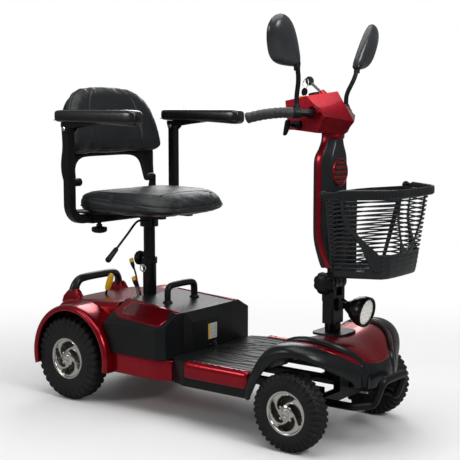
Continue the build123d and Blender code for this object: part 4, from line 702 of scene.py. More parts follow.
def stitches(name, obj, paths, body, finish):
    """Short thread stitches lying along paths on a soft piece."""
    store = [[], []]
    for path in paths:
        pts = [Vector(p) for p in path]
        run = 0.0
        for a, b in zip(pts[:-1], pts[1:]):
            d = (b - a).length
            if d < 1e-6:
                continue
            while run < d:
                p = a + (b - a) * (run / d)
                q = p + (b - a).normalized() * STITCH_LENGTH
                ends = snap(obj, [p, q], STITCH_LIFT)
                tube(None, ends, STITCH_RADIUS, sides=5, add_to=store)
                run += STITCH_PITCH
            run -= d
    make(name, store[0], store[1], finish, body, angle=60)


material("thread", (0.010, 0.012, 0.013), 0.7, tint=0.2, grain=3000, bump=0.4, edge=0)


def seat_plan(shrink):
    """Half outline of the seat cushion from the rear centre to the front centre."""
    pts = []
    for k in range(4):
        pts.append((SEAT_REAR + shrink, 42 * k))
    for k in range(1, 6):
        a = math.pi / 2 * k / 5
        pts.append((-386 - (50 - shrink) * math.cos(a), 141 + (54 - shrink) * math.sin(a)))
    for k in range(1, 4):
        pts.append((-386 + 52 * k, SEAT_HALF - shrink))
    for k in range(1, 9):
        a = math.pi / 2 * k / 8
        pts.append((SEAT_NOSE + (NOSE_LENGTH - shrink) * math.sin(a) ** 0.9,
                    (SEAT_HALF - shrink) * math.cos(a) ** 0.62 if k < 8 else 0))
    return pts


def closed_plan(shrink):
    """Whole outline of the seat cushion."""
    half = seat_plan(shrink)
    return half + [(x, -y) for x, y in reversed(half[1:-1])]


def seat_droop(x, z):
    """The front edge of the seat falls away."""
    t = max(0.0, (x - SEAT_NOSE) / NOSE_LENGTH)
    return z - SEAT_DROP * t ** 2.2


def seat_cushion():
    """Vinyl seat: crowned top panel, boxing round the sides, seams and a waterfall front."""
    rings = []
    for shrink, more, z in ((26, 0, 554), (9, 0, 555), (3, 0, 562), (2, 5, 574), (4, 14, 587), (12, 24, 597),
                            (34, 22, 602), (80, 0, 604)):
        ring = []
        narrow = closed_plan(min(shrink + more, 60))
        for (x, y), (x2, y2) in zip(closed_plan(min(shrink, 60)), narrow):
            k = min(1, max(0, (x + 370) / 150))
            x, y = x + (x2 - x) * k, y + (y2 - y) * k
            if shrink > 60:
                x, y = -280 + (x + 280) * 0.5, y * 0.5
            thick = seat_droop(x, z) if z > 570 else seat_droop(x, z) * 0.5 + z * 0.5
            ring.append((x, y, thick))
        rings.append(ring)
    obj = loft("seat_cushion_skin", rings, "seat_vinyl", "seat", levels=0, replaces=("seat_cushion",))
    inflate(obj)
    edge = [(x, y, seat_droop(x, 590) + 2) for x, y in closed_plan(3)]
    edge = snap(obj, catmull(edge, 3, True) + [edge[0]])
    low = [(x, y, 0.5 * seat_droop(x, 562) + 281) for x, y in closed_plan(3)]
    low = snap(obj, catmull(low, 2, True))
    inner = []
    for side in (-1, 1):
        inner.append(snap(obj, catmull([(-428, side * 150, 604), (-360, side * 156, 606),
                                        (-280, side * 156, 606), (-215, side * 140, 604),
                                        (-172, side * 112, 598), (-130, side * 84, 588)], 8)))
    cross = snap(obj, catmull([(-168, -116, 598), (-182, -60, 602), (-186, 0, 603), (-182, 60, 602),
                               (-168, 116, 598)], 8))
    sew(obj, [edge], 2.2, 2.2)
    sew(obj, inner + [cross], 2.6, 3.2)
    sew(obj, [low], 1.6, 2.0)
    welt = [(x, y, 0.5 * seat_droop(x, 566) + 283) for x, y in closed_plan(2)]
    welt = snap(obj, catmull(welt, 3, True), 0.4)
    tube("seat_welt", welt, 1.9, "seat_vinyl", "seat", sides=8, closed=True)
    stitches("seat_stitching", obj, inner + [cross, edge], "seat", "thread")


def back_flat(y, h, d):
    """A point of the backrest: y across, h up the leaning plane from the hinge, d out of its face."""
    return (HINGE_X + math.cos(BACK_LEAN) * d - math.sin(BACK_LEAN) * h, y,
            HINGE_Z + math.sin(BACK_LEAN) * d + math.cos(BACK_LEAN) * h)


def back_point(y, h, d):
    """A point of the back pad, whose sides wrap forward."""
    return back_flat(y, h, d + 26 * (abs(y) / SEAT_HALF) ** 3)


def back_outline(shrink):
    """Half outline of the backrest, from the bottom centre round to the top centre."""
    pts = [(0, 76 + shrink), (60, 76 + shrink), (120, 76 + shrink), (174 - shrink * 0.6, 76 + shrink),
           (195 - shrink, 86 + shrink * 0.5), (196 - shrink, 126), (193 - shrink, 165), (184 - shrink, 203)]
    pts += [(167 - shrink * 0.85, 235 - shrink * 0.3), (140 - shrink * 0.6, 262 - shrink * 0.7),
            (104 - shrink * 0.4, 279 - shrink * 0.9), (56, 286 - shrink), (0, 288 - shrink)]
    return pts


def back_cushion():
    """Vinyl backrest pad: three panels between two curved seams, with a seam round its edge."""
    rings = []
    for shrink, d in ((14, -4), (4, -2), (2, 6), (3, 16), (10, 24), (30, 29), (62, 31)):
        half = back_outline(min(shrink, 40))
        loop = half + [(-y, h) for y, h in reversed(half[1:-1])]
        if shrink > 40:
            loop = [(y * 0.55, 186 + (h - 186) * 0.55) for y, h in loop]
        rings.append([back_point(y, h, d) for y, h in loop])
    obj = loft("back_cushion_skin", rings, "seat_vinyl", "back", levels=0, replaces=("back_cushion",))
    inflate(obj)
    half = back_outline(4)
    loop = half + [(-y, h) for y, h in reversed(half[1:-1])]
    edge = snap(obj, catmull([back_point(y, h, 20) for y, h in loop], 3, True))
    seams = []
    for side in (-1, 1):
        seams.append(snap(obj, catmull([back_point(side * y, h, 40)
                                        for y, h in ((106, 84), (106, 130), (104, 175), (96, 220),
                                                     (82, 255), (70, 280))], 8)))
    sew(obj, [edge], 2.0, 2.2)
    sew(obj, seams, 2.6, 3.0)
    stitches("back_stitching", obj, seams + [edge], "back", "thread")


seat_cushion()
back_cushion()


# ---------------------------------------------------------------- rear body


def arc_point(angle, radius, y):
    """A point on the wheel arch, by angle and radius about its centre."""
    a = math.radians(angle)
    return (ARCH_X + radius * math.cos(a), y, ARCH_Z + radius * math.sin(a))


def rear_body():
    """Red hump and rolled wheel arches."""
    profile = [(-573, 150), (-572, 176), (-566, 218), (-552, 252), (-538, 268), (-518, 279), (-480, 284),
               (-422, 288), (-360, 291), (-312, 294), (-302, 294)]
    grid = []
    for y, drop in ((0, -2), (60, -1.5), (112, -0.5), (134, 0.5), (144, 3.5), (149, 10), (150, 22)):
        grid.append([(x + drop * (0.5 if i < 4 else 0), y, z - (drop if i > 2 else 0))
                     for i, (x, z) in enumerate(profile)])
    grid.append([(x, 150, min(z - 22, 200)) for x, z in profile])
    grid.append([(x, 150, 158) for x, _ in profile])
    sheet("rear_hump", mirrored(grid), "red_gloss", "chassis", WALL, FINE, ("rear_cover",), face=(0, 0, 1))
    angles = [196, 188, 176, 160, 142, 124, 106, 90, 74, 58, 42, 26, 12, 2, -6, -12]
    for side, tag in SIDES:
        rows = []
        for y, r in ((148, 151), (166, 149), (190, 149.5), (212, 150.5), (222, 150), (228.5, 146), (230, 140),
                     (229, 134), (225, 131.5), (220, 132.5)):
            rows.append([arc_point(a, r, side * y) for a in angles])
        sheet(f"rear_fender_{tag}", rows, "red_gloss", "chassis", ARCH_WALL, FINE, face=(0, 0, 1))


def rear_tray():
    """Open tray under the battery box, ring round the post and slot of the freewheel lever."""
    plan = [(-299, 200), (-111, 200), (-106, 198), (-71, 182), (-69, 178), (-69, -178), (-71, -182),
            (-106, -198), (-111, -200), (-299, -200)]

    def ring(inset, z):
        return [(x + (inset if x < -200 else -inset), y - math.copysign(inset, y), z) for x, y in plan]

    loft("rear_tray", [ring(5, 105), ring(0.8, 107), ring(0, 112), ring(0, 156), ring(0.8, 161),
                       ring(2, 162), ring(3.5, 160), ring(3.5, 108)], "red_gloss", "chassis", levels=0,
         angle=30)
    ring_path = [(POST_X + 25 * math.cos(a), 25 * math.sin(a), 294.5) for a in turn(39)]
    tube("post_ring", ring_path, 2.4, "red_gloss", "chassis", sides=8, closed=True)
    slot = [(-485, -4.5), (-480, -9.5), (-400, -9.5), (-395, -4.5), (-395, 4.5), (-400, 9.5), (-480, 9.5),
            (-485, 4.5)]
    # The slot is a thin plate painted near black as shade, not a real opening.
    prism("freewheel_slot", slot, (0, -40, 287.8), (1, 0, 0.055), (0, 1, 0), 1.2,
          "painted_shade", "chassis", 0.3)


def rear_handle():
    """Lifting handle across the rear on its two red feet."""
    c = 5
    for side, tag in SIDES:
        foot = []
        for rear, front, near, out, h in ((-568, -492, 84, 114, 262), (-562, -494, 85, 113, 280),
                                          (-548, -502, 88, 110, 296), (-538, -507, 90, 107, 303),
                                          (-534, -510, 92, 105, 304.5)):
            foot.append([(rear + c, side * near, h), (front - c, side * near, h),
                         (front, side * (near + c), h), (front, side * (out - c), h),
                         (front - c, side * out, h), (rear + c, side * out, h), (rear, side * (out - c), h),
                         (rear, side * (near + c), h)])
        loft(f"rear_handle_foot_{tag}", foot, "red_gloss", "chassis", levels=0, angle=30, bevel=1.0)
    path = catmull([(-528, -98, 294), (-525, -93, 314), (-522, -80, 329), (-520, -56, 334), (-520, 0, 335),
                    (-520, 56, 334), (-522, 80, 329), (-525, 93, 314), (-528, 98, 294)], 8)
    count = len(path)
    radii = [9.6 + 3.6 * abs(2 * i / (count - 1) - 1) ** 3 for i in range(count)]
    tube("rear_handle_bar", path, radii, "satin_grey", "chassis", sides=20, replaces=("rear_handle",),
         flat=1.25)


rear_body()
rear_tray()
rear_handle()


def fluted_knob(name, centre, axis, radius, depth, lobes, body, replaces, cut):
    """A moulded hand knob: fluted rim, domed face and a neck toward the screw."""
    w = Vector(axis).normalized()
    u = w.orthogonal().normalized()
    v = w.cross(u)
    rings = []
    for d, r, c in ((-0.62, 0.30, 0), (-0.34, 0.34, 0), (-0.30, 0.72, 0.4), (-0.24, 0.93, 1), (-0.16, 1.0, 1),
                    (0.16, 1.0, 1), (0.26, 0.94, 1), (0.36, 0.80, 0.7), (0.44, 0.55, 0.2), (0.48, 0.28, 0),
                    (0.49, 0.04, 0)):
        ring = []
        for a in turn(96):
            f = 1 - cut * c * (0.5 + 0.5 * math.cos(lobes * a)) ** 2
            out = (u * math.cos(a) + v * math.sin(a)) * (radius * r * f)
            ring.append(tuple(Vector(centre) + out + w * (depth * d)))
        rings.append(ring)
    loft(name, rings, "black_plastic", body, levels=0, replaces=replaces, angle=50)


def knobs():
    """Tiller clamp, seat height and armrest knobs, and the yellow tag by the freewheel lever."""
    fluted_knob("fold_knob_skin", (328, -45, 399), (0, -1, 0), 29.5, 32, 8, "hinge_knob", ("fold_knob",),
                cut=0.09)
    fluted_knob("post_knob_skin", (-346, 0, 402), (-1, 0, 0), 21.5, 27, 12, "clamp_knob", ("post_knob",),
                cut=0.08)
    for side, tag in SIDES:
        x, y = -406, side * 110
        fluted_knob(f"arm_knob_skin_{tag}", (x, y, 494), (0, 0, -1), 23.3, 24, 12, f"arm_clamp_{tag}",
                    (f"arm_knob_{tag}",), cut=0.12)
        lathe(f"arm_screw_{tag}", [(0, 6), (3, 9), (8, 9), (9, 6), (22, 6)], (x, y, 500), (0, 0, 1),
              "frame_black", f"arm_clamp_{tag}", steps=32)
    prism("lever_tag", [(-14, -8), (14, -8), (14, 8), (-14, 8)], (-492, -78, 282.6), (1, 0, 0.08),
          (0, 1, 0), 0.7, "yellow_plastic", "chassis", 0.3)


knobs()


def battery_shoulders():
    """Red frames with a deep red panel on the shoulders of the battery box."""
    def shoulder(x, y, lift):
        plane = 300 - 0.538 * (abs(y) - 112)
        top = 301 - 0.0787 * (x + 301)
        return (x, y, min(plane, top) + lift)

    for side, tag in SIDES:
        outer = [(-299, 156), (-292, 110), (-92, 118), (-88, 128), (-104, 190), (-112, 196), (-262, 186),
                 (-290, 172)]
        inner = [(-276, 152), (-262, 122), (-112, 128), (-108, 132), (-122, 174), (-128, 178), (-256, 170),
                 (-270, 164)]
        rings = []
        for loop, lift in ((outer, -2.5), (outer, 1.2), (outer, 2.4), (inner, 2.4), (inner, 1.2)):
            shrink = 0.992 if (loop is outer and lift > 2) else 1
            rings.append([shoulder(-190 + (x + 190) * shrink, side * (150 + (y - 150) * shrink), lift)
                          for x, y in loop])
        verts = [p for ring in rings for p in ring]
        size = len(outer)
        faces = ring_faces(len(rings), size, False)
        faces.append(tuple((len(rings) - 1) * size + c for c in range(size)))
        panel = make(f"battery_panel_{tag}", verts,
                     [tuple(reversed(f)) for f in faces] if side < 0 else faces, "red_gloss", "battery",
                     ("battery_panels",), angle=25, second="deep_red",
                     face_mats=[0] * (len(faces) - 1) + [1])
        modify(panel, "BEVEL", width=0.8 * MM, segments=2, limit_method="ANGLE",
               angle_limit=math.radians(25))


def battery_grip():
    """Carrying handle on the lid of the battery box."""
    grip = catmull([(-188, -60, 286), (-188, -60, 318), (-188, -57, 332), (-188, -46, 339), (-188, -20, 341),
                    (-188, 20, 341), (-188, 46, 339), (-188, 57, 332), (-188, 60, 318), (-188, 60, 286)], 7)
    tube("battery_grip", grip, 10.2, "black_plastic", "battery", sides=20, replaces=("battery_handle",),
         flat=0.9)
    for y in (-60, 60):
        lathe(f"grip_foot_{'r' if y < 0 else 'l'}", [(-3, 15), (2.5, 14.5), (5, 12), (6.5, 10)],
              (-188, y, 292), (-0.08, 0, 1), "black_plastic", "battery", steps=32)


def battery_front():
    """Blank rating label, charging port and breaker on the front of the battery box."""
    face_x = BATTERY_FACE_X
    u, v = (0, 1, 0), (0, 0, 1)
    prism("rating_label", [(-26, 196), (14, 196), (14, 240), (-26, 240)], (face_x + 0.5, 0, 0),
          u, v, 0.6, "label_white", "battery", 0.2)
    prism("label_stripe", [(-26, 196), (-18, 196), (-18, 240), (-26, 240)], (face_x + 0.8, 0, 0), u, v, 0.5,
          "yellow_plastic", "battery", 0.1)
    store = [[], []]
    for row in range(7):
        for part in range(2):
            y0 = -15 + part * 14
            z0 = 234 - row * 5.4
            base = len(store[0])
            store[0].extend([(face_x + 0.65, y0, z0), (face_x + 0.65, y0 + 11 - 3 * (row % 2), z0),
                             (face_x + 0.65, y0 + 11 - 3 * (row % 2), z0 + 1.1),
                             (face_x + 0.65, y0, z0 + 1.1)])
            store[1].append((base, base + 1, base + 2, base + 3))
    rules = make("label_rules", store[0], store[1], "grey_cable", "battery")
    modify(rules, "SOLIDIFY", thickness=0.0003, offset=0)
    lathe("charge_port_rim", [(-2, 13), (1.5, 13), (3, 11.5), (3, 9), (0.6, 8.6), (0.4, 1)],
          (face_x, 8, 178), (1, 0, 0), "black_plastic", "battery", steps=40)
    for k in range(3):
        a = math.radians(90 + 120 * k)
        lathe(f"charge_pin_{k}", [(0, 1.4), (2.6, 1.3), (3, 0.8)],
              (face_x, 8 + 4.4 * math.cos(a), 178 + 4.4 * math.sin(a)), (1, 0, 0), "bright_metal", "battery",
              steps=12)
    lathe("breaker_button", [(-1, 6), (2, 6), (4, 5.2), (4.6, 3.5)], (face_x, -18, 178), (1, 0, 0),
          "black_plastic", "battery", steps=28)


battery_shoulders()
battery_grip()
battery_front()


# ---------------------------------------------------------------- levers, knobs and cables


def freewheel_lever():
    """Yellow freewheel lever on its stalk and hub."""
    stalk = catmull([(-457, -40.5, 208), (-455, -40.5, 250), (-450, -40.5, 285), (-444, -40.5, 303)], 6)
    tube("freewheel_stalk", stalk, 5.2, "black_plastic", "freewheel", sides=14,
         replaces=("freewheel_lever",), flat=0.7)
    rings = []
    for t, w in ((0, 3), (0.03, 6.5), (0.1, 8.8), (0.3, 10.2), (0.6, 10.8), (0.85, 9.6), (0.95, 7.2),
                 (1, 3.5)):
        c = Vector((-446, -40.5, 298)) + Vector((22, 0, 54)) * t
        along = Vector((22, 0, 54)).normalized()
        side = Vector((0, 1, 0))
        out = along.cross(side)
        rings.append([tuple(c + side * (w * 0.78 * math.cos(a)) + out * (w * math.sin(a)))
                      for a in turn(20)])
    loft("freewheel_cap", rings, "yellow_plastic", "freewheel", levels=1)
    lathe("freewheel_hub", [(-5, 12), (-4.4, 12.6), (3.4, 12.6), (4, 12)], (-457, -40.5, 208), (0, 1, 0),
          "black_plastic", "freewheel", steps=36)


freewheel_lever()


def cables():
    """Two battery leads with capped plugs that hang beside the post."""
    leads = (((-352, -30, 392), "black_plastic"), ((-336, -38, 340), "grey_cable"))
    for k, (top, finish) in enumerate(leads):
        x, y, z = top
        path = catmull([(x + 6, y + 1, z - 14), (x + 16, y + 2, z - 45), (-330, -30 - 6 * k, 316),
                        (-326, -26 - 8 * k, 296), (-326, -26 - 8 * k, 286)], 8)
        tube(f"lead_{k}", path, 2.6, finish, "chassis", sides=12)
        plug = [(x, y, z), (x + 3, y + 0.5, z - 9), (x + 7, y + 1, z - 20)]
        tube(f"lead_plug_{k}", catmull(plug, 4), [5.6, 5.8, 6.0, 6.0, 5.6, 5.0, 4.4, 3.8, 3.2],
             "black_plastic", "chassis", sides=16)
        tube(f"lead_cap_{k}", [(x - 3, y - 0.6, z + 11), (x - 2.6, y - 0.5, z + 10), (x - 1, y, z + 1),
                               (x, y, z - 1)], [5.0, 6.2, 6.6, 6.4], "yellow_plastic", "chassis", sides=18)
    tube("lead_red", catmull([(-332, -34, 352), (-322, -33, 322), (-318, -30, 300), (-318, -29, 286)], 8),
         1.7, "red_gloss", "chassis", sides=10)


cables()


def foot_floor():
    """Moulded ribs of the deck mat, and its red side strips with their lugs."""
    store = [[], []]

    def rib(points, r=1.7):
        tube(None, catmull([(x, y, 172.2) for x, y in points], 5), r, sides=8, add_to=store, flat=0.75)

    for side in (-1, 1):
        rib([(-52, side * 166), (-20, side * 176), (60, side * 176), (110, side * 176), (128, side * 168),
             (150, side * 168), (192, side * 168)])
        rib([(-52, side * 148), (-16, side * 156), (56, side * 156), (100, side * 156), (116, side * 146),
             (150, side * 146), (192, side * 146)])
        rib([(-50, side * 14), (0, side * 96), (40, side * 128), (104, side * 130), (126, side * 118),
             (192, side * 118)])
        rib([(-20, side * 12), (20, side * 74), (52, side * 100), (100, side * 102), (122, side * 90),
             (192, side * 90)])
        rib([(10, side * 10), (38, side * 50), (62, side * 66), (104, side * 66), (124, side * 56),
             (192, side * 56)])
        rib([(40, side * 8), (56, side * 26), (76, side * 34), (104, side * 34), (122, side * 26),
             (192, side * 26)])
    make("deck_mat_ribs", store[0], store[1], "black_plastic", "chassis", angle=50)
    for side, tag in SIDES:
        lugs = [[], []]
        for x in (-2, 14, 62, 78, 100, 150, 166, 188):
            lathe(None, [(-3, 5.5), (3, 5.5), (4.6, 4.4), (5, 2.5)], (x, side * 191, 173), (0, 0.1 * side, 1),
                  steps=18, add_to=lugs)
        make(f"deck_lugs_{tag}", lugs[0], lugs[1], "gloss_black", "chassis")
        strip = []
        for x in (-12, -10, 20, 80, 140, 196, 199):
            e = 2.0 if x in (-12, 199) else 0
            strip.append([(x, side * y, z) for y, z in ((196.2, 127 + e), (203 - e, 130 + e), (205 - e, 140),
                                                        (205 - e, 160), (203.5 - e, 169),
                                                        (198 - e, 176.5 - e), (190, 177.5 - e),
                                                        (181, 176 - e), (178, 173), (196.2, 171))])
        loft(f"deck_strip_{tag}", strip, "red_gloss", "chassis", levels=1, replaces=("deck_trim",))


foot_floor()


# ---------------------------------------------------------------- seat hardware


def back_shell():
    """Moulded shell behind the back pad: one curved skin, an arch opening and two legs."""
    outer = [(0, 270), (54, 268), (98, 262), (130, 246), (154, 222), (170, 194), (179, 165), (185, 130),
             (191, 100), (196, 74), (197, 46), (195, 16), (190, -8)]
    inner = [(0, 76), (34, 76), (64, 76), (92, 75), (112, 72), (128, 65), (139, 54), (144, 42), (146, 30),
             (147, 20), (148, 10), (150, -2), (152, -8)]
    grid = []
    for k in range(7):
        t = k / 6
        row = []
        for (yo, ho), (yi, hi) in zip(outer, inner):
            y, h = yo + (yi - yo) * t, ho + (hi - ho) * t
            bulge = -9 * math.sin(math.pi * min(1, t * 1.15)) * min(1, max(0, (h - 20) / 120))
            wrap = 18 * (abs(y) / SEAT_HALF) ** 3 * min(1, max(0, (h - 40) / 60))
            row.append(back_flat(y, h, -8 + bulge + wrap - (3 if k in (0, 6) else 5)))
        grid.append(row)
    whole = [[(x, -y, z) for x, y, z in reversed(row)] + row[1:] for row in grid]
    sheet("back_shell_skin", whole, "black_plastic", "back", SHELL_WALL, FINE, ("back_shell",),
          face=(1, 0, 0))
    for side, tag in SIDES:
        lathe(f"back_boss_{tag}", [(146, 10), (147, 12), (170, 12), (171, 11)], (HINGE_X, 0, HINGE_Z),
              (0, side, 0), "black_plastic", "back", steps=32)
        lathe(f"back_bolt_{tag}", [(178, 6.5), (179.6, 6.5), (182.4, 5.6), (182.8, 3)], (HINGE_X, 0, HINGE_Z),
              (0, side, 0), "bright_metal", "seat", steps=24)


back_shell()


def arm_pads():
    """Self-skinned armrest pads with a rolled top, a facetted front end and a tapered mount."""
    for side, tag in SIDES:
        rings = []
        y0 = side * ARM_Y
        for x, w, low, top in ((-439, 19, 815, 832), (-438, 23, 810, 838), (-434, 25, 807, 840),
                               (-420, 25.5, 806, 841), (-300, 25.5, 805, 841), (-190, 25.5, 799, 841),
                               (-166, 25.2, 797, 841), (-152, 23, 797, 840), (-143, 19, 801, 836),
                               (-139, 14, 807, 830)):
            h = (top - low) / 2
            mid = (top + low) / 2
            ring = []
            for a in turn(24):
                c, s = math.cos(a), math.sin(a)
                ring.append((x, y0 + w * math.copysign(abs(c) ** 0.42, c),
                             mid + h * math.copysign(abs(s) ** 0.5, s)))
            rings.append(ring)
        loft(f"arm_pad_skin_{tag}", rings, "pad_skin", f"pad_{tag}", levels=1, replaces=(f"arm_pad_{tag}",))
        outline = [(-420, 806), (-420, 796), (-414, 780), (-404, 776), (-394, 780), (-384, 790), (-340, 796),
                   (-286, 802), (-280, 807)]
        for k, y in enumerate((-16.4, 13.2)):
            prism(f"arm_cheek_{tag}_{k}", outline, (0, y0 + y + 3.2, 0), (1, 0, 0), (0, 0, 1), -3.2,
                  "gloss_black", f"pad_{tag}", 0.8)
        lathe(f"arm_pivot_{tag}", [(-19.5, 4), (-18.8, 6), (-16.6, 6.4), (16.6, 6.4), (18.8, 6), (19.5, 4)],
              (-406, y0, 788), (0, 1, 0), "bright_metal", f"pad_{tag}", steps=24)
        seam = catmull([(-438.6, y0 - 12, 813), (-431, y0 - 24.6, 812), (-300, y0 - 25.8, 811),
                        (-170, y0 - 25.4, 808), (-150, y0 - 22, 808), (-141, y0, 812), (-150, y0 + 22, 808),
                        (-170, y0 + 25.4, 808), (-300, y0 + 25.8, 811), (-431, y0 + 24.6, 812),
                        (-438.6, y0 + 12, 813)], 6, True)
        tube(f"arm_flash_{tag}", seam, 0.9, "pad_skin", f"pad_{tag}", sides=6, closed=True)


arm_pads()


# ---------------------------------------------------------------- tiller


def tiller_skins():
    """Rear cover, red band and front panel, drawn as three joined sheets round the tube."""
    levels = [(438, 311, 331, 344, 44), (446, 308, 329, 344, 47), (470, 301, 320, 344, 49),
              (506, 290, 306, 344, 50), (540, 289, 302, 344, 50), (620, 289, 302, 344, 50),
              (690, 289, 302, 344, 50), (716, 289, 302, 344, 49.5), (730, 292, 303, 344, 46),
              (744, 297, 305, 344, 38.5), (757, 301, 307, 344, 32.5), (768, 303, 308, 344, 30.2),
              (779, 303, 308, 344, 30)]
    rear, band, front = [], [], []
    for z, back, seam, nose, half in levels:
        mid = seam + 17
        rear.append([(back, -half + 14, z), (back + 3, -half + 4, z), (back + 9, -half, z),
                     (seam, -half, z)])
        band.append([(seam, -half, z), (seam + 1.2, -half - 1.6, z), (mid - 1.2, -half - 1.6, z),
                     (mid, -half, z)])
        front.append([(mid, -half, z), (mid + 1.5, -half + 2.5, z), (mid + 4, -half + 3, z),
                      (nose - 4, -half + 11, z), (nose - 0.5, -half + 15, z), (nose, -half + 20, z)])
    whole_rear = [[(x, -y, z) for x, y, z in reversed(row)] + [(row[0][0], 0, row[0][2])] + row
                  for row in rear]
    sheet("tiller_rear_skin", whole_rear, "satin_grey", "tiller", WALL, FINE, ("tiller_cover_rear",),
          face=(-1, 0, 0))
    whole_front = [row + [(row[-1][0], 0, row[-1][2])] + [(x, -y, z) for x, y, z in reversed(row)]
                   for row in front]
    sheet("tiller_front_skin", whole_front, "satin_grey", "tiller", WALL, FINE, ("tiller_cover_front",),
          face=(1, 0, 0))
    for side, tag in SIDES:
        rows = [[(x, -side * y, z) for x, y, z in row] for row in band]
        piece = sheet(f"tiller_band_{tag}", rows, "red_gloss", "tiller", WALL, FINE,
                      face=(0, rows[0][0][1], 0))
        if side < 0:
            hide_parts("tiller_trim")


def tiller_details():
    """Round slatted vent, bag hook and the ring under the head."""
    lathe("vent_ring", [(-1, 36.5), (0.8, 36.3), (2.0, 35), (2.2, 33.6), (0.9, 32.6), (-1, 32.4)],
          (344.6, 0, VENT_Z), (1, 0, 0), "red_gloss", "tiller", steps=72)
    # A flat disc painted near black as shade behind the slats, in place of the vent's hollow.
    lathe("vent_shade_disc", [(-0.6, 33), (0.25, 33), (0.3, 1)], (344.5, 0, VENT_Z), (1, 0, 0), "painted_shade",
          "tiller", steps=72)
    for k in range(5):
        z = (k - 2) * VENT_PITCH
        half = math.sqrt(VENT_RADIUS ** 2 - z * z) - 0.6
        rings = []
        for t in (-1, -0.9, -0.5, 0, 0.5, 0.9, 1):
            y = half * t
            depth = 1.9 if abs(t) < 1 else 0.9
            rings.append([(344.4, y, VENT_Z + z - 4.2), (344.6 + depth, y, VENT_Z + z - 3.6),
                          (344 + depth + 1.2, y, VENT_Z + z), (344 + depth, y, VENT_Z + z + 3.6),
                          (344.2, y, VENT_Z + z + 4.2)])
        loft(f"vent_slat_{k}", rings, "red_gloss", "tiller", levels=1)
    hook = [(14 * math.cos(a), 14 * math.sin(a)) for a in np.linspace(math.pi / 2, 3 * math.pi / 2, 16)]
    prism("bag_hook", hook, (292, 9, 670), (1, 0, 0), (0, 0, 1), -18, "satin_grey", "tiller", 2.0)
    lathe("neck_ring", [(768, 27), (770, 29), (786, 30), (790, 28)], (322, 0, 0), (0, 0, 1), "red_gloss",
          "tiller", steps=40)


tiller_skins()
tiller_details()


def mirrors():
    """Teardrop mirror shells with a bezel and inset glass, and their necks."""
    for side, tag in SIDES:
        normal = Vector((math.cos(MIRROR_TURN), side * math.sin(MIRROR_TURN), 0))
        cross = Vector((-math.sin(MIRROR_TURN), side * math.cos(MIRROR_TURN), 0))
        along = (Vector((0, 0, 1)) + normal * math.tan(MIRROR_TURN)).normalized()
        normal = (cross.cross(along) * side).normalized()
        centre = Vector((302, side * 205, 1010))
        outline = [(5, 57), (22, 50), (35, 38), (43, 23), (46, 4), (45, -16), (41, -37), (34, -50), (22, -60),
                   (4, -65), (-16, -67), (-36, -68), (-50, -67), (-58, -60), (-59, -46), (-56, -30),
                   (-52, -12), (-46, 8), (-39, 26), (-31, 40), (-20, 51), (-8, 57)]
        loop = catmull([(b + 4, a + 0.206 * b, 0) for a, b in outline], 2, True)

        def ring(scale, depth):
            return [tuple(centre + along * (p.x * scale) + cross * (p.y * scale) + normal * depth)
                    for p in loop]

        shell = [ring(0.86, -7.2), ring(0.93, -9.0), ring(0.98, -8.6), ring(1.0, -5.5), ring(1.0, -1),
                 ring(0.97, 5), ring(0.88, 11), ring(0.72, 15.6), ring(0.48, 18.6), ring(0.22, 20),
                 ring(0.05, 20.2)]
        # The shell takes the lighter satin, which is a painted highlight.
        loft(f"mirror_shell_{tag}", shell, "mirror_back_painted_highlight", f"mirror_head_{tag}", levels=1,
             replaces=(f"mirror_{tag}",))
        glass = [ring(0.88, -7.4), ring(0.875, -7.9), ring(0.6, -8.1), ring(0.3, -8.2), ring(0.05, -8.2)]
        loft(f"mirror_glass_{tag}", glass, "mirror_glass", f"mirror_head_{tag}", levels=0)
        neck = catmull([(305, side * 143.5, 948.6), (305, side * 147, 956), (304, side * 154, 964),
                        (303, side * 163, 976)], 6)
        count = len(neck)
        tube(f"mirror_neck_{tag}", neck, [9 + 3.5 * math.sin(1.9 * i / (count - 1)) for i in range(count)],
             "satin_grey", f"mirror_head_{tag}", sides=18)


mirrors()


# ---------------------------------------------------------------- basket

RIM_HALF = [(376, 0), (377, 40), (384, 84), (404, 140), (424, 196), (440, 196), (462, 178), (496, 148),
            (530, 117), (545, 100), (553, 80), (556, 40), (557, 0)]
FLOOR_HALF = [(380, 0), (381, 32), (384, 64), (391, 98), (400, 125), (410, 130), (434, 122), (466, 110),
              (498, 97), (518, 88), (527, 68), (530, 36), (531, 0)]


def wall(u, t, out=0.0, side=1):
    """A wall point: u runs 0..1 from the rear centre to the front centre, t from floor to rim."""
    f = u * (len(RIM_HALF) - 1)
    i = min(int(f), len(RIM_HALF) - 2)
    k = f - i
    rx = RIM_HALF[i][0] + (RIM_HALF[i + 1][0] - RIM_HALF[i][0]) * k
    ry = RIM_HALF[i][1] + (RIM_HALF[i + 1][1] - RIM_HALF[i][1]) * k
    fx = FLOOR_HALF[i][0] + (FLOOR_HALF[i + 1][0] - FLOOR_HALF[i][0]) * k
    fy = FLOOR_HALF[i][1] + (FLOOR_HALF[i + 1][1] - FLOOR_HALF[i][1]) * k
    x, y = fx + (rx - fx) * t, fy + (ry - fy) * t
    d = Vector((x - BASKET_X, y, 0))
    d = d.normalized() if d.length > 1 else Vector((1, 0, 0))
    return (x + d.x * out, side * (y + d.y * out), BASKET_FLOOR_Z + BASKET_TALL * t)


def basket_loop(t, out):
    """Loop round the basket at one height, pushed out of its wall."""
    half = [wall(k / BASKET_STEPS, t, out, 1) for k in range(BASKET_STEPS + 1)]
    return half + [(x, -y, z) for x, y, z in reversed(half[1:-1])]


def brim(u):
    """Height of the upper edge of the bottom pan, raised at the front."""
    k = min(1, max(0, (u - 0.60) / 0.12))
    return 0.09 + 0.20 * k * k * (3 - 2 * k)


def brim_loop(below, out):
    """Loop round the basket just below the edge of the bottom pan."""
    half = [wall(k / BASKET_STEPS, brim(k / BASKET_STEPS) - below, out, 1) for k in range(BASKET_STEPS + 1)]
    return half + [(x, -y, z) for x, y, z in reversed(half[1:-1])]


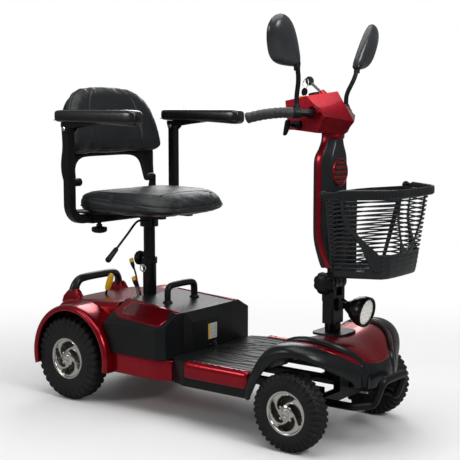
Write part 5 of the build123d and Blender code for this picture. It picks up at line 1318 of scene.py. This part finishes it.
def basket_shell():
    """Bottom pan and rim of the basket."""
    pan = [basket_loop(0.0, -16), basket_loop(0.0, -4), basket_loop(0.012, -0.8), basket_loop(0.035, 0),
           basket_loop(0.07, 0.2), brim_loop(0.012, 0.4), brim_loop(0.002, 0), brim_loop(0, -2.2),
           brim_loop(0.012, -2.8), basket_loop(0.06, -3), basket_loop(0.03, -5), basket_loop(0.022, -16)]
    size = len(pan[0])
    verts = [p for ring in pan for p in ring]
    faces = ring_faces(len(pan), size, False)
    floor_low = tuple(range(size - 1, -1, -1))
    floor_top = tuple((len(pan) - 1) * size + c for c in range(size))
    make("basket_pan", verts, faces + [floor_low, floor_top], "satin_grey", "basket", ("basket",), angle=35)
    rim = [basket_loop(0.945, -2.6), basket_loop(0.945, 0.4), basket_loop(0.955, 1.6), basket_loop(0.985, 2),
           basket_loop(1.0, 1.2), basket_loop(1.003, -1), basket_loop(0.998, -3.4), basket_loop(0.96, -3.8)]
    size = len(rim[0])
    verts = [p for ring in rim for p in ring]
    faces = ring_faces(len(rim), size, False)
    faces += closing_faces(len(rim), size)
    make("basket_rim", verts, faces, "satin_grey", "basket", angle=40)


def basket_slats():
    """Thin slats round the basket between its pan and rim."""
    store = [[], []]
    low, high, thin = 0.125, 0.925, 0.0095
    for n in range(SLATS):
        t = low + (high - low) * n / (SLATS - 1)
        rings = []
        for k in range(2 * BASKET_STEPS):
            u = k / BASKET_STEPS if k <= BASKET_STEPS else (2 * BASKET_STEPS - k) / BASKET_STEPS
            s = 1 if k <= BASKET_STEPS else -1
            rings.append([wall(u, t - thin, 0.2, s), wall(u, t - thin * 0.5, 1.3, s),
                          wall(u, t + thin * 0.5, 1.3, s), wall(u, t + thin, 0.2, s),
                          wall(u, t + thin, -2.2, s), wall(u, t - thin, -2.2, s)])
        base = len(store[0])
        for ring in rings:
            store[0].extend(ring)
        total = len(rings)
        for k in range(total):
            m = (k + 1) % total
            for c in range(6):
                d = (c + 1) % 6
                store[1].append((base + k * 6 + c, base + m * 6 + c, base + m * 6 + d, base + k * 6 + d))
    make("basket_slats", store[0], store[1], "satin_grey", "basket", angle=35)


def web(name, centre, wide, side, t0=0.28):
    """An upright web of the basket wall, with its centre and half width at each height."""
    rows = []
    for k in range(22):
        t = t0 + (0.96 - t0) * k / 21
        u = centre(t)
        w = wide(t)
        rows.append([wall(min(1, max(0, u + w * j / 3)), t, 2.2 if abs(j) < 3 else 0.8, side)
                     for j in (-3, -2, -1, 0, 1, 2, 3)])
    sheet(name, rows, "satin_grey", "basket", 3.4, 1, face=(rows[0][3][0] - BASKET_X, rows[0][3][1], 0))


def edge_at(curve, t):
    """Where one edge of the curved web runs at height t."""
    return float(np.interp(t, [c[0] for c in curve], [c[1] for c in curve]))


def basket_webs():
    """Curved web on each side, side posts, rear posts and front curve."""
    left = ((0.08, 0.668), (0.10, 0.664), (0.27, 0.612), (0.36, 0.598), (0.48, 0.561), (0.63, 0.51),
            (0.78, 0.487), (0.97, 0.470))
    right = ((0.08, 0.735), (0.10, 0.735), (0.27, 0.728), (0.36, 0.656), (0.48, 0.595), (0.63, 0.537),
             (0.78, 0.506), (0.97, 0.494))
    for side, tag in SIDES:
        web(f"basket_web_{tag}", lambda t: (edge_at(left, t) + edge_at(right, t)) / 2,
            lambda t: (edge_at(right, t) - edge_at(left, t)) / 2, side, t0=0.09)
        web(f"basket_post_{tag}", lambda t: 0.335, lambda t: 0.024, side, t0=0.06)
        web(f"basket_back_{tag}", lambda t: 0.03, lambda t: 0.03, side, t0=0.06)
        web(f"basket_curve_{tag}", lambda t: 0.99 - 0.125 * min(1, max(0, (t - 0.27) / 0.45)) ** 0.6,
            lambda t: 0.010 + 0.035 * max(0, 1 - (t - 0.28) / 0.16) ** 1.5, side)


def basket_fittings():
    """Ribs of the basket floor and the two hooks behind it."""
    bars = [[], []]
    for y in range(-72, 73, 18):
        tube(None, [(392, y, 436), (520, y, 436)], 1.8, sides=8, add_to=bars)
    make("basket_floor_ribs", bars[0], bars[1], "satin_grey", "basket", angle=50)
    for side, tag in SIDES:
        prism(f"basket_hook_{tag}", [(-10, 596), (10, 596), (10, 622), (6, 628), (-6, 628), (-10, 622)],
              (375, side * 22, 0), (0, 1, 0), (0, 0, 1), 7, "satin_grey", "basket", 1.0)


basket_shell()
basket_slats()
basket_webs()
basket_fittings()


def carry_handle():
    """The rim band that folds up, ribbed at its corners."""
    half = catmull([(424, 207, 0), (446, 191, 0), (486, 160, 0), (531, 125, 0), (550, 107, 0), (562, 88, 0),
                    (567, 60, 0), (568, 0, 0)], 16)
    pts = [(p.x, p.y) for p in half]
    run = pts + [(x, -y) for x, y in reversed(pts[:-1])]
    length = [0.0]
    for a, b in zip(run[:-1], run[1:]):
        length.append(length[-1] + math.dist(a, b))
    total = length[-1]
    rings = []
    fine = 420
    for k in range(fine + 1):
        s = total * k / fine
        i = max(1, next(j for j in range(1, len(length)) if length[j] >= s - 1e-6))
        f = (s - length[i - 1]) / max(length[i] - length[i - 1], TINY)
        x = run[i - 1][0] + (run[i][0] - run[i - 1][0]) * f
        y = run[i - 1][1] + (run[i][1] - run[i - 1][1]) * f
        tx, ty = run[i][0] - run[i - 1][0], run[i][1] - run[i - 1][1]
        n = math.hypot(tx, ty)
        ox, oy = ty / n, -tx / n
        if ox * (x - BASKET_X) + oy * y < 0:
            ox, oy = -ox, -oy
        corner = min(abs(s / total - 0.27), abs(s / total - 0.73))
        slim = min(1, max(0, (min(s, total - s) - 30) / 14))
        middle = abs(s / total - 0.5)
        ribbed = corner < 0.055 or middle < 0.085
        bump = 1.1 * (1 if math.sin(s / 7.5 * 2 * math.pi) > 0 else 0) if ribbed else 0
        h = 0.55 + 0.45 * slim
        rings.append([(x + ox * o, y + oy * o, z)
                      for o, z in ((3.0 + bump, CARRY_Z - h * 8.5), (3.6 + bump, CARRY_Z),
                                   (3.0 + bump, CARRY_Z + h * 9), (0.5, CARRY_Z + h * 11.2),
                                   (-2.6, CARRY_Z + h * 10.4), (-3.2, CARRY_Z),
                                   (-2.6, CARRY_Z - h * 10), (0.5, CARRY_Z - h * 11))])
    loft("carry_handle_skin", rings, "satin_grey", "handle", levels=0, replaces=("basket_handle",),
         angle=40)
    for side, tag in SIDES:
        lathe(f"carry_eye_{tag}", [(-3.4, 8), (-3, 9.4), (2.4, 9.4), (3.2, 8.6), (3.6, 5)],
              (424, side * 207, CARRY_Z), (0, side, 0), "satin_grey", "handle", steps=32)
        lathe(f"carry_pin_{tag}", [(-14, 4.4), (3.8, 4.4), (4.6, 4), (5, 2.2)], (424, side * 207, CARRY_Z),
              (0, side, 0), "satin_grey", "basket", steps=24)


carry_handle()


def lamp():
    """LED lens with its small domes, and the bezel round it."""
    droop = math.radians(10)
    axis = Vector((math.cos(droop), 0, -math.sin(droop)))
    base = Vector((370, 0, 338))
    lathe("lamp_lens", [(50, 34.2), (57, 34.0), (58.4, 31), (59.4, 20), (59.8, 2)], tuple(base),
          tuple(axis), "led_lens", "lamp", steps=64)
    store = [[], []]
    u = Vector((0, 1, 0))
    v = axis.cross(u)
    spots = [(0, 0)] + [(11 * math.cos(a), 11 * math.sin(a)) for a in np.arange(6) * math.pi / 3]
    spots += [(23 * math.cos(a), 23 * math.sin(a)) for a in np.arange(12) * math.pi / 6]
    for a, b in spots:
        at = base + axis * 58 + u * float(a) + v * float(b)
        lathe(None, [(0, 4.3), (1.5, 4.1), (2.6, 3.0), (3.1, 1.2)], tuple(at), tuple(axis), steps=14,
              add_to=store)
    make("lamp_leds", store[0], store[1], "led_lens", "lamp", angle=60)
    lathe("lamp_bezel", [(14, 20), (20, 27), (30, 34), (42, 38.6), (50, 39.6), (60, 40), (62, 39),
                         (62.2, 36), (59, 34.4), (52, 34.2)], tuple(base), tuple(axis), "gloss_black",
          "lamp", steps=72)


def keys():
    """Key in its barrel, with a spare on its ring."""
    along = Vector((-0.78, 0, 0.62)).normalized()
    root = Vector((303, -22, 882))
    lathe("key_barrel", [(-6, 8.5), (5, 8.5), (6.5, 7.6), (6.6, 4)], tuple(root), tuple(along),
          "bright_metal", "ignition", steps=32, replaces=("key",))
    up = Vector((0.62, 0, 0.78))
    prism("key_blade", [(-3.4, 4), (3.4, 4), (3.4, 44), (-3.4, 44)], tuple(root), tuple(up), tuple(along),
          2.2, "gear_case", "ignition", 0.3)
    bow = [(11.5 * math.cos(a), 54 + 12.5 * math.sin(a)) for a in turn(24)]
    prism("key_bow", bow, tuple(root + Vector((0, 1.6, 0))), tuple(up), tuple(along), 5, "black_plastic",
          "ignition", 1.2)
    eye = root + along * 62
    hang = eye + Vector((-3, 0, -11))
    loop = [tuple(hang + Vector((8 * math.cos(a), 3 * math.sin(a), 12 * math.sin(a)))) for a in turn(40)]
    tube("key_ring", loop, 1.1, "bright_metal", "ignition", sides=8, closed=True)
    spare = hang + Vector((0, -5, -22))
    bow = [(8 * math.cos(a), 11 * math.sin(a)) for a in turn(24)]
    prism("spare_key_bow", bow, tuple(spare), (0.75, 0.66, 0), (0.1, 0, 0.99), 4.4, "black_plastic",
          "ignition", 1.2)


def grips_and_lever():
    """Handlebar sleeves with rolled ends, and the wig-wag paddles under the head."""
    for side, tag in SIDES:
        path = catmull([(283, side * 125, 835), (262, side * 152, 835), (232, side * 178, 831),
                        (201, side * 200, 823), (194, side * 204, 821)], 12)
        count = len(path)
        radii = []
        for i in range(count):
            t = i / (count - 1)
            radii.append(13.2 + 0.5 * math.cos(i * 1.6) * (0.15 < t < 0.85) + 0.9 * (t > 0.82))
        radii[0], radii[1] = 12.0, 13.4
        for k in range(12):
            radii[count - 12 + k] = 14.2 * math.sqrt(max(0.01, 1 - ((k + 1) / 12) ** 2))
        piece = tube(f"grip_skin_{tag}", path, radii, "grip_foam", "tiller", sides=28)
        if side < 0:
            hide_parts("grips")
    gaiter = [(231, 791), (267, 791), (269, 793), (269, 817), (267, 819), (231, 819), (229, 817),
              (229, 793)]
    prism("throttle_gaiter", gaiter, (0, -73.6, 0), (1, 0, 0), (0, 0, 1), 147.2,
          "black_plastic", "tiller", 0.6)
    rings = [[], []]
    for side in (-1, 1):
        tube(None, [(249, side * 58, 803), (249, side * 98, 803)], 4.6, sides=14, add_to=rings)
    rod = make("throttle_rod", rings[0], rings[1], "gloss_black", "throttle", angle=50)
    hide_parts("throttle_lever")
    for side, tag in SIDES:
        blade = []
        for x, z, a, b in ((251, 818, 4, 6), (250, 815, 5.4, 9), (249, 803, 6.2, 10.5), (247, 793, 5.4, 10.5),
                           (244, 785, 4.4, 9.5), (242, 779, 3.6, 7.5), (241, 777, 2.2, 5)):
            blade.append([(x + a * math.cos(q), side * 102 + b * math.sin(q), z) for q in turn(20)])
        loft(f"throttle_paddle_{tag}", blade, "gloss_black", "throttle", levels=1)


def release_lever():
    """Swivel release rod under the seat with its moulded hand grip."""
    rod = catmull([(-267, -40, 514), (-288, -46, 520), (-304, -60, 517), (-311, -95, 482),
                   (-318, -130, 446.5)], 8)
    tube("release_rod", rod, 3.4, "frame_black", "swivel", sides=12, replaces=("swivel_lever",))
    head = Vector((-318, -130, 446.5))
    tip = Vector((-325, -165, 411))
    along = tip - head
    path = [tuple(head + along * t) for t in (0, 0.04, 0.1, 0.3, 0.6, 0.85, 0.95, 1.0)]
    tube("release_grip", path, [5, 6.4, 7, 7.4, 7.8, 8.6, 7.6, 4.4], "black_plastic", "swivel", sides=24)


lamp()
keys()
grips_and_lever()
release_lever()


# ---------------------------------------------------------------- finishes of the carried-over CAD nodes


EDGE_ROUND = 0.6
WELD_GAP = 0.00002
BEVELS = {"battery_box": 1.8, "steer_column": 2.0, "fold_knob": 4.0, "head_cover": 7.0, "head_console": 1.4,
          "foot_deck": 1.2, "seat_pan": 0.8, "post_knob": 1.0}


def dress():
    """Gives every CAD node that still shows the finish of its slot, and rounded edges."""
    special = {"steer_column": "gloss_black", "battery_box": "black_plastic"}
    for name, obj in NODES.items():
        if obj.hide_render:
            continue
        slot_name = special.get(name) or SLOT_OF.get(name) or "black_plastic"
        obj.data.materials.clear()
        obj.data.materials.append(MATS[slot_name])
        modify(obj, "WELD", merge_threshold=WELD_GAP)
        modify(obj, "BEVEL", width=BEVELS.get(name, EDGE_ROUND) * MM, segments=3, limit_method="ANGLE",
               angle_limit=math.radians(32), harden_normals=False)


dress()


# ---------------------------------------------------------------- floor, light and camera


def studio():
    """White floor and backdrop, soft lamps, and the camera."""
    scene = bpy.context.scene
    floor = bpy.data.meshes.new("floor")
    size = 30.0
    floor.from_pydata([(-size, -size, 0), (size, -size, 0), (size, size, 0), (-size, size, 0)], [],
                      [(0, 1, 2, 3)])
    ground = bpy.data.objects.new("floor", floor)
    paint = material("floor_paint", (0.86, 0.86, 0.86), 0.6, tint=0.01, grain=40, bump=0.02, edge=0)
    tree = paint.node_tree
    nodes, links = tree.nodes, tree.links
    place = nodes.new("ShaderNodeNewGeometry")
    reach = nodes.new("ShaderNodeVectorMath")
    reach.operation = "LENGTH"
    links.new(place.outputs["Position"], reach.inputs[0])
    fade = nodes.new("ShaderNodeMapRange")
    fade.interpolation_type = "SMOOTHSTEP"
    set_in(fade, "From Min", FADE_FROM)
    set_in(fade, "From Max", FADE_TO)
    links.new(reach.outputs["Value"], fade.inputs["Value"])
    seen = nodes.new("ShaderNodeLightPath")
    both = nodes.new("ShaderNodeMath")
    both.operation = "MULTIPLY"
    links.new(fade.outputs["Result"], both.inputs[0])
    links.new(seen.outputs["Is Camera Ray"], both.inputs[1])
    glow = nodes.new("ShaderNodeEmission")
    mix = nodes.new("ShaderNodeMixShader")
    links.new(both.outputs["Value"], mix.inputs[0])
    links.new(nodes["Principled BSDF"].outputs["BSDF"], mix.inputs[1])
    links.new(glow.outputs["Emission"], mix.inputs[2])
    links.new(mix.outputs["Shader"], nodes["Material Output"].inputs["Surface"])
    shade = nodes.new("ShaderNodeMapRange")
    set_in(shade, "To Min", FLOOR_BOUNCE)
    set_in(shade, "To Max", FLOOR_SEEN)
    links.new(seen.outputs["Is Camera Ray"], shade.inputs["Value"])
    links.new(shade.outputs["Result"], nodes["Principled BSDF"].inputs["Base Color"])
    floor.materials.append(paint)
    scene.collection.objects.link(ground)
    world = bpy.data.worlds.new("studio")
    world.use_nodes = True
    nodes, links = world.node_tree.nodes, world.node_tree.links
    set_in(nodes["Background"], "Color", (1, 1, 1, 1))
    seen = nodes.new("ShaderNodeLightPath")
    level = nodes.new("ShaderNodeMapRange")
    set_in(level, "To Min", SKY_LIGHT)
    set_in(level, "To Max", SKY_SEEN)
    links.new(seen.outputs["Is Camera Ray"], level.inputs["Value"])
    links.new(level.outputs["Result"], nodes["Background"].inputs["Strength"])
    scene.world = world
    for name, place, target, power, size in (("top", (0.3, -0.2, 2.7), (0, 0, 0.3), 52, 2.4),
                                             ("key", (2.4, -0.6, 1.9), (0, 0, 0.5), 30, 0.9),
                                             ("side", (-1.4, -2.4, 1.5), (0, 0, 0.4), 15, 0.8),
                                             ("back", (-1.6, 2.2, 1.8), (0, 0, 0.5), 24, 1.4)):
        light = bpy.data.lights.new(name, "AREA")
        light.energy = power
        light.size = size
        obj = bpy.data.objects.new(name, light)
        obj.location = place
        obj.rotation_euler = (Vector(target) - Vector(place)).to_track_quat("-Z", "Y").to_euler()
        scene.collection.objects.link(obj)
    camera = bpy.data.cameras.new("camera")
    camera.sensor_width = SENSOR
    camera.lens = LENS
    rig = bpy.data.objects.new("camera", camera)
    rig.location = CAMERA_AT
    rig.rotation_euler = (CAMERA_DOWN, 0, CAMERA_TURN)
    scene.collection.objects.link(rig)
    scene.camera = rig
    scene.view_settings.view_transform = "Standard"


studio()
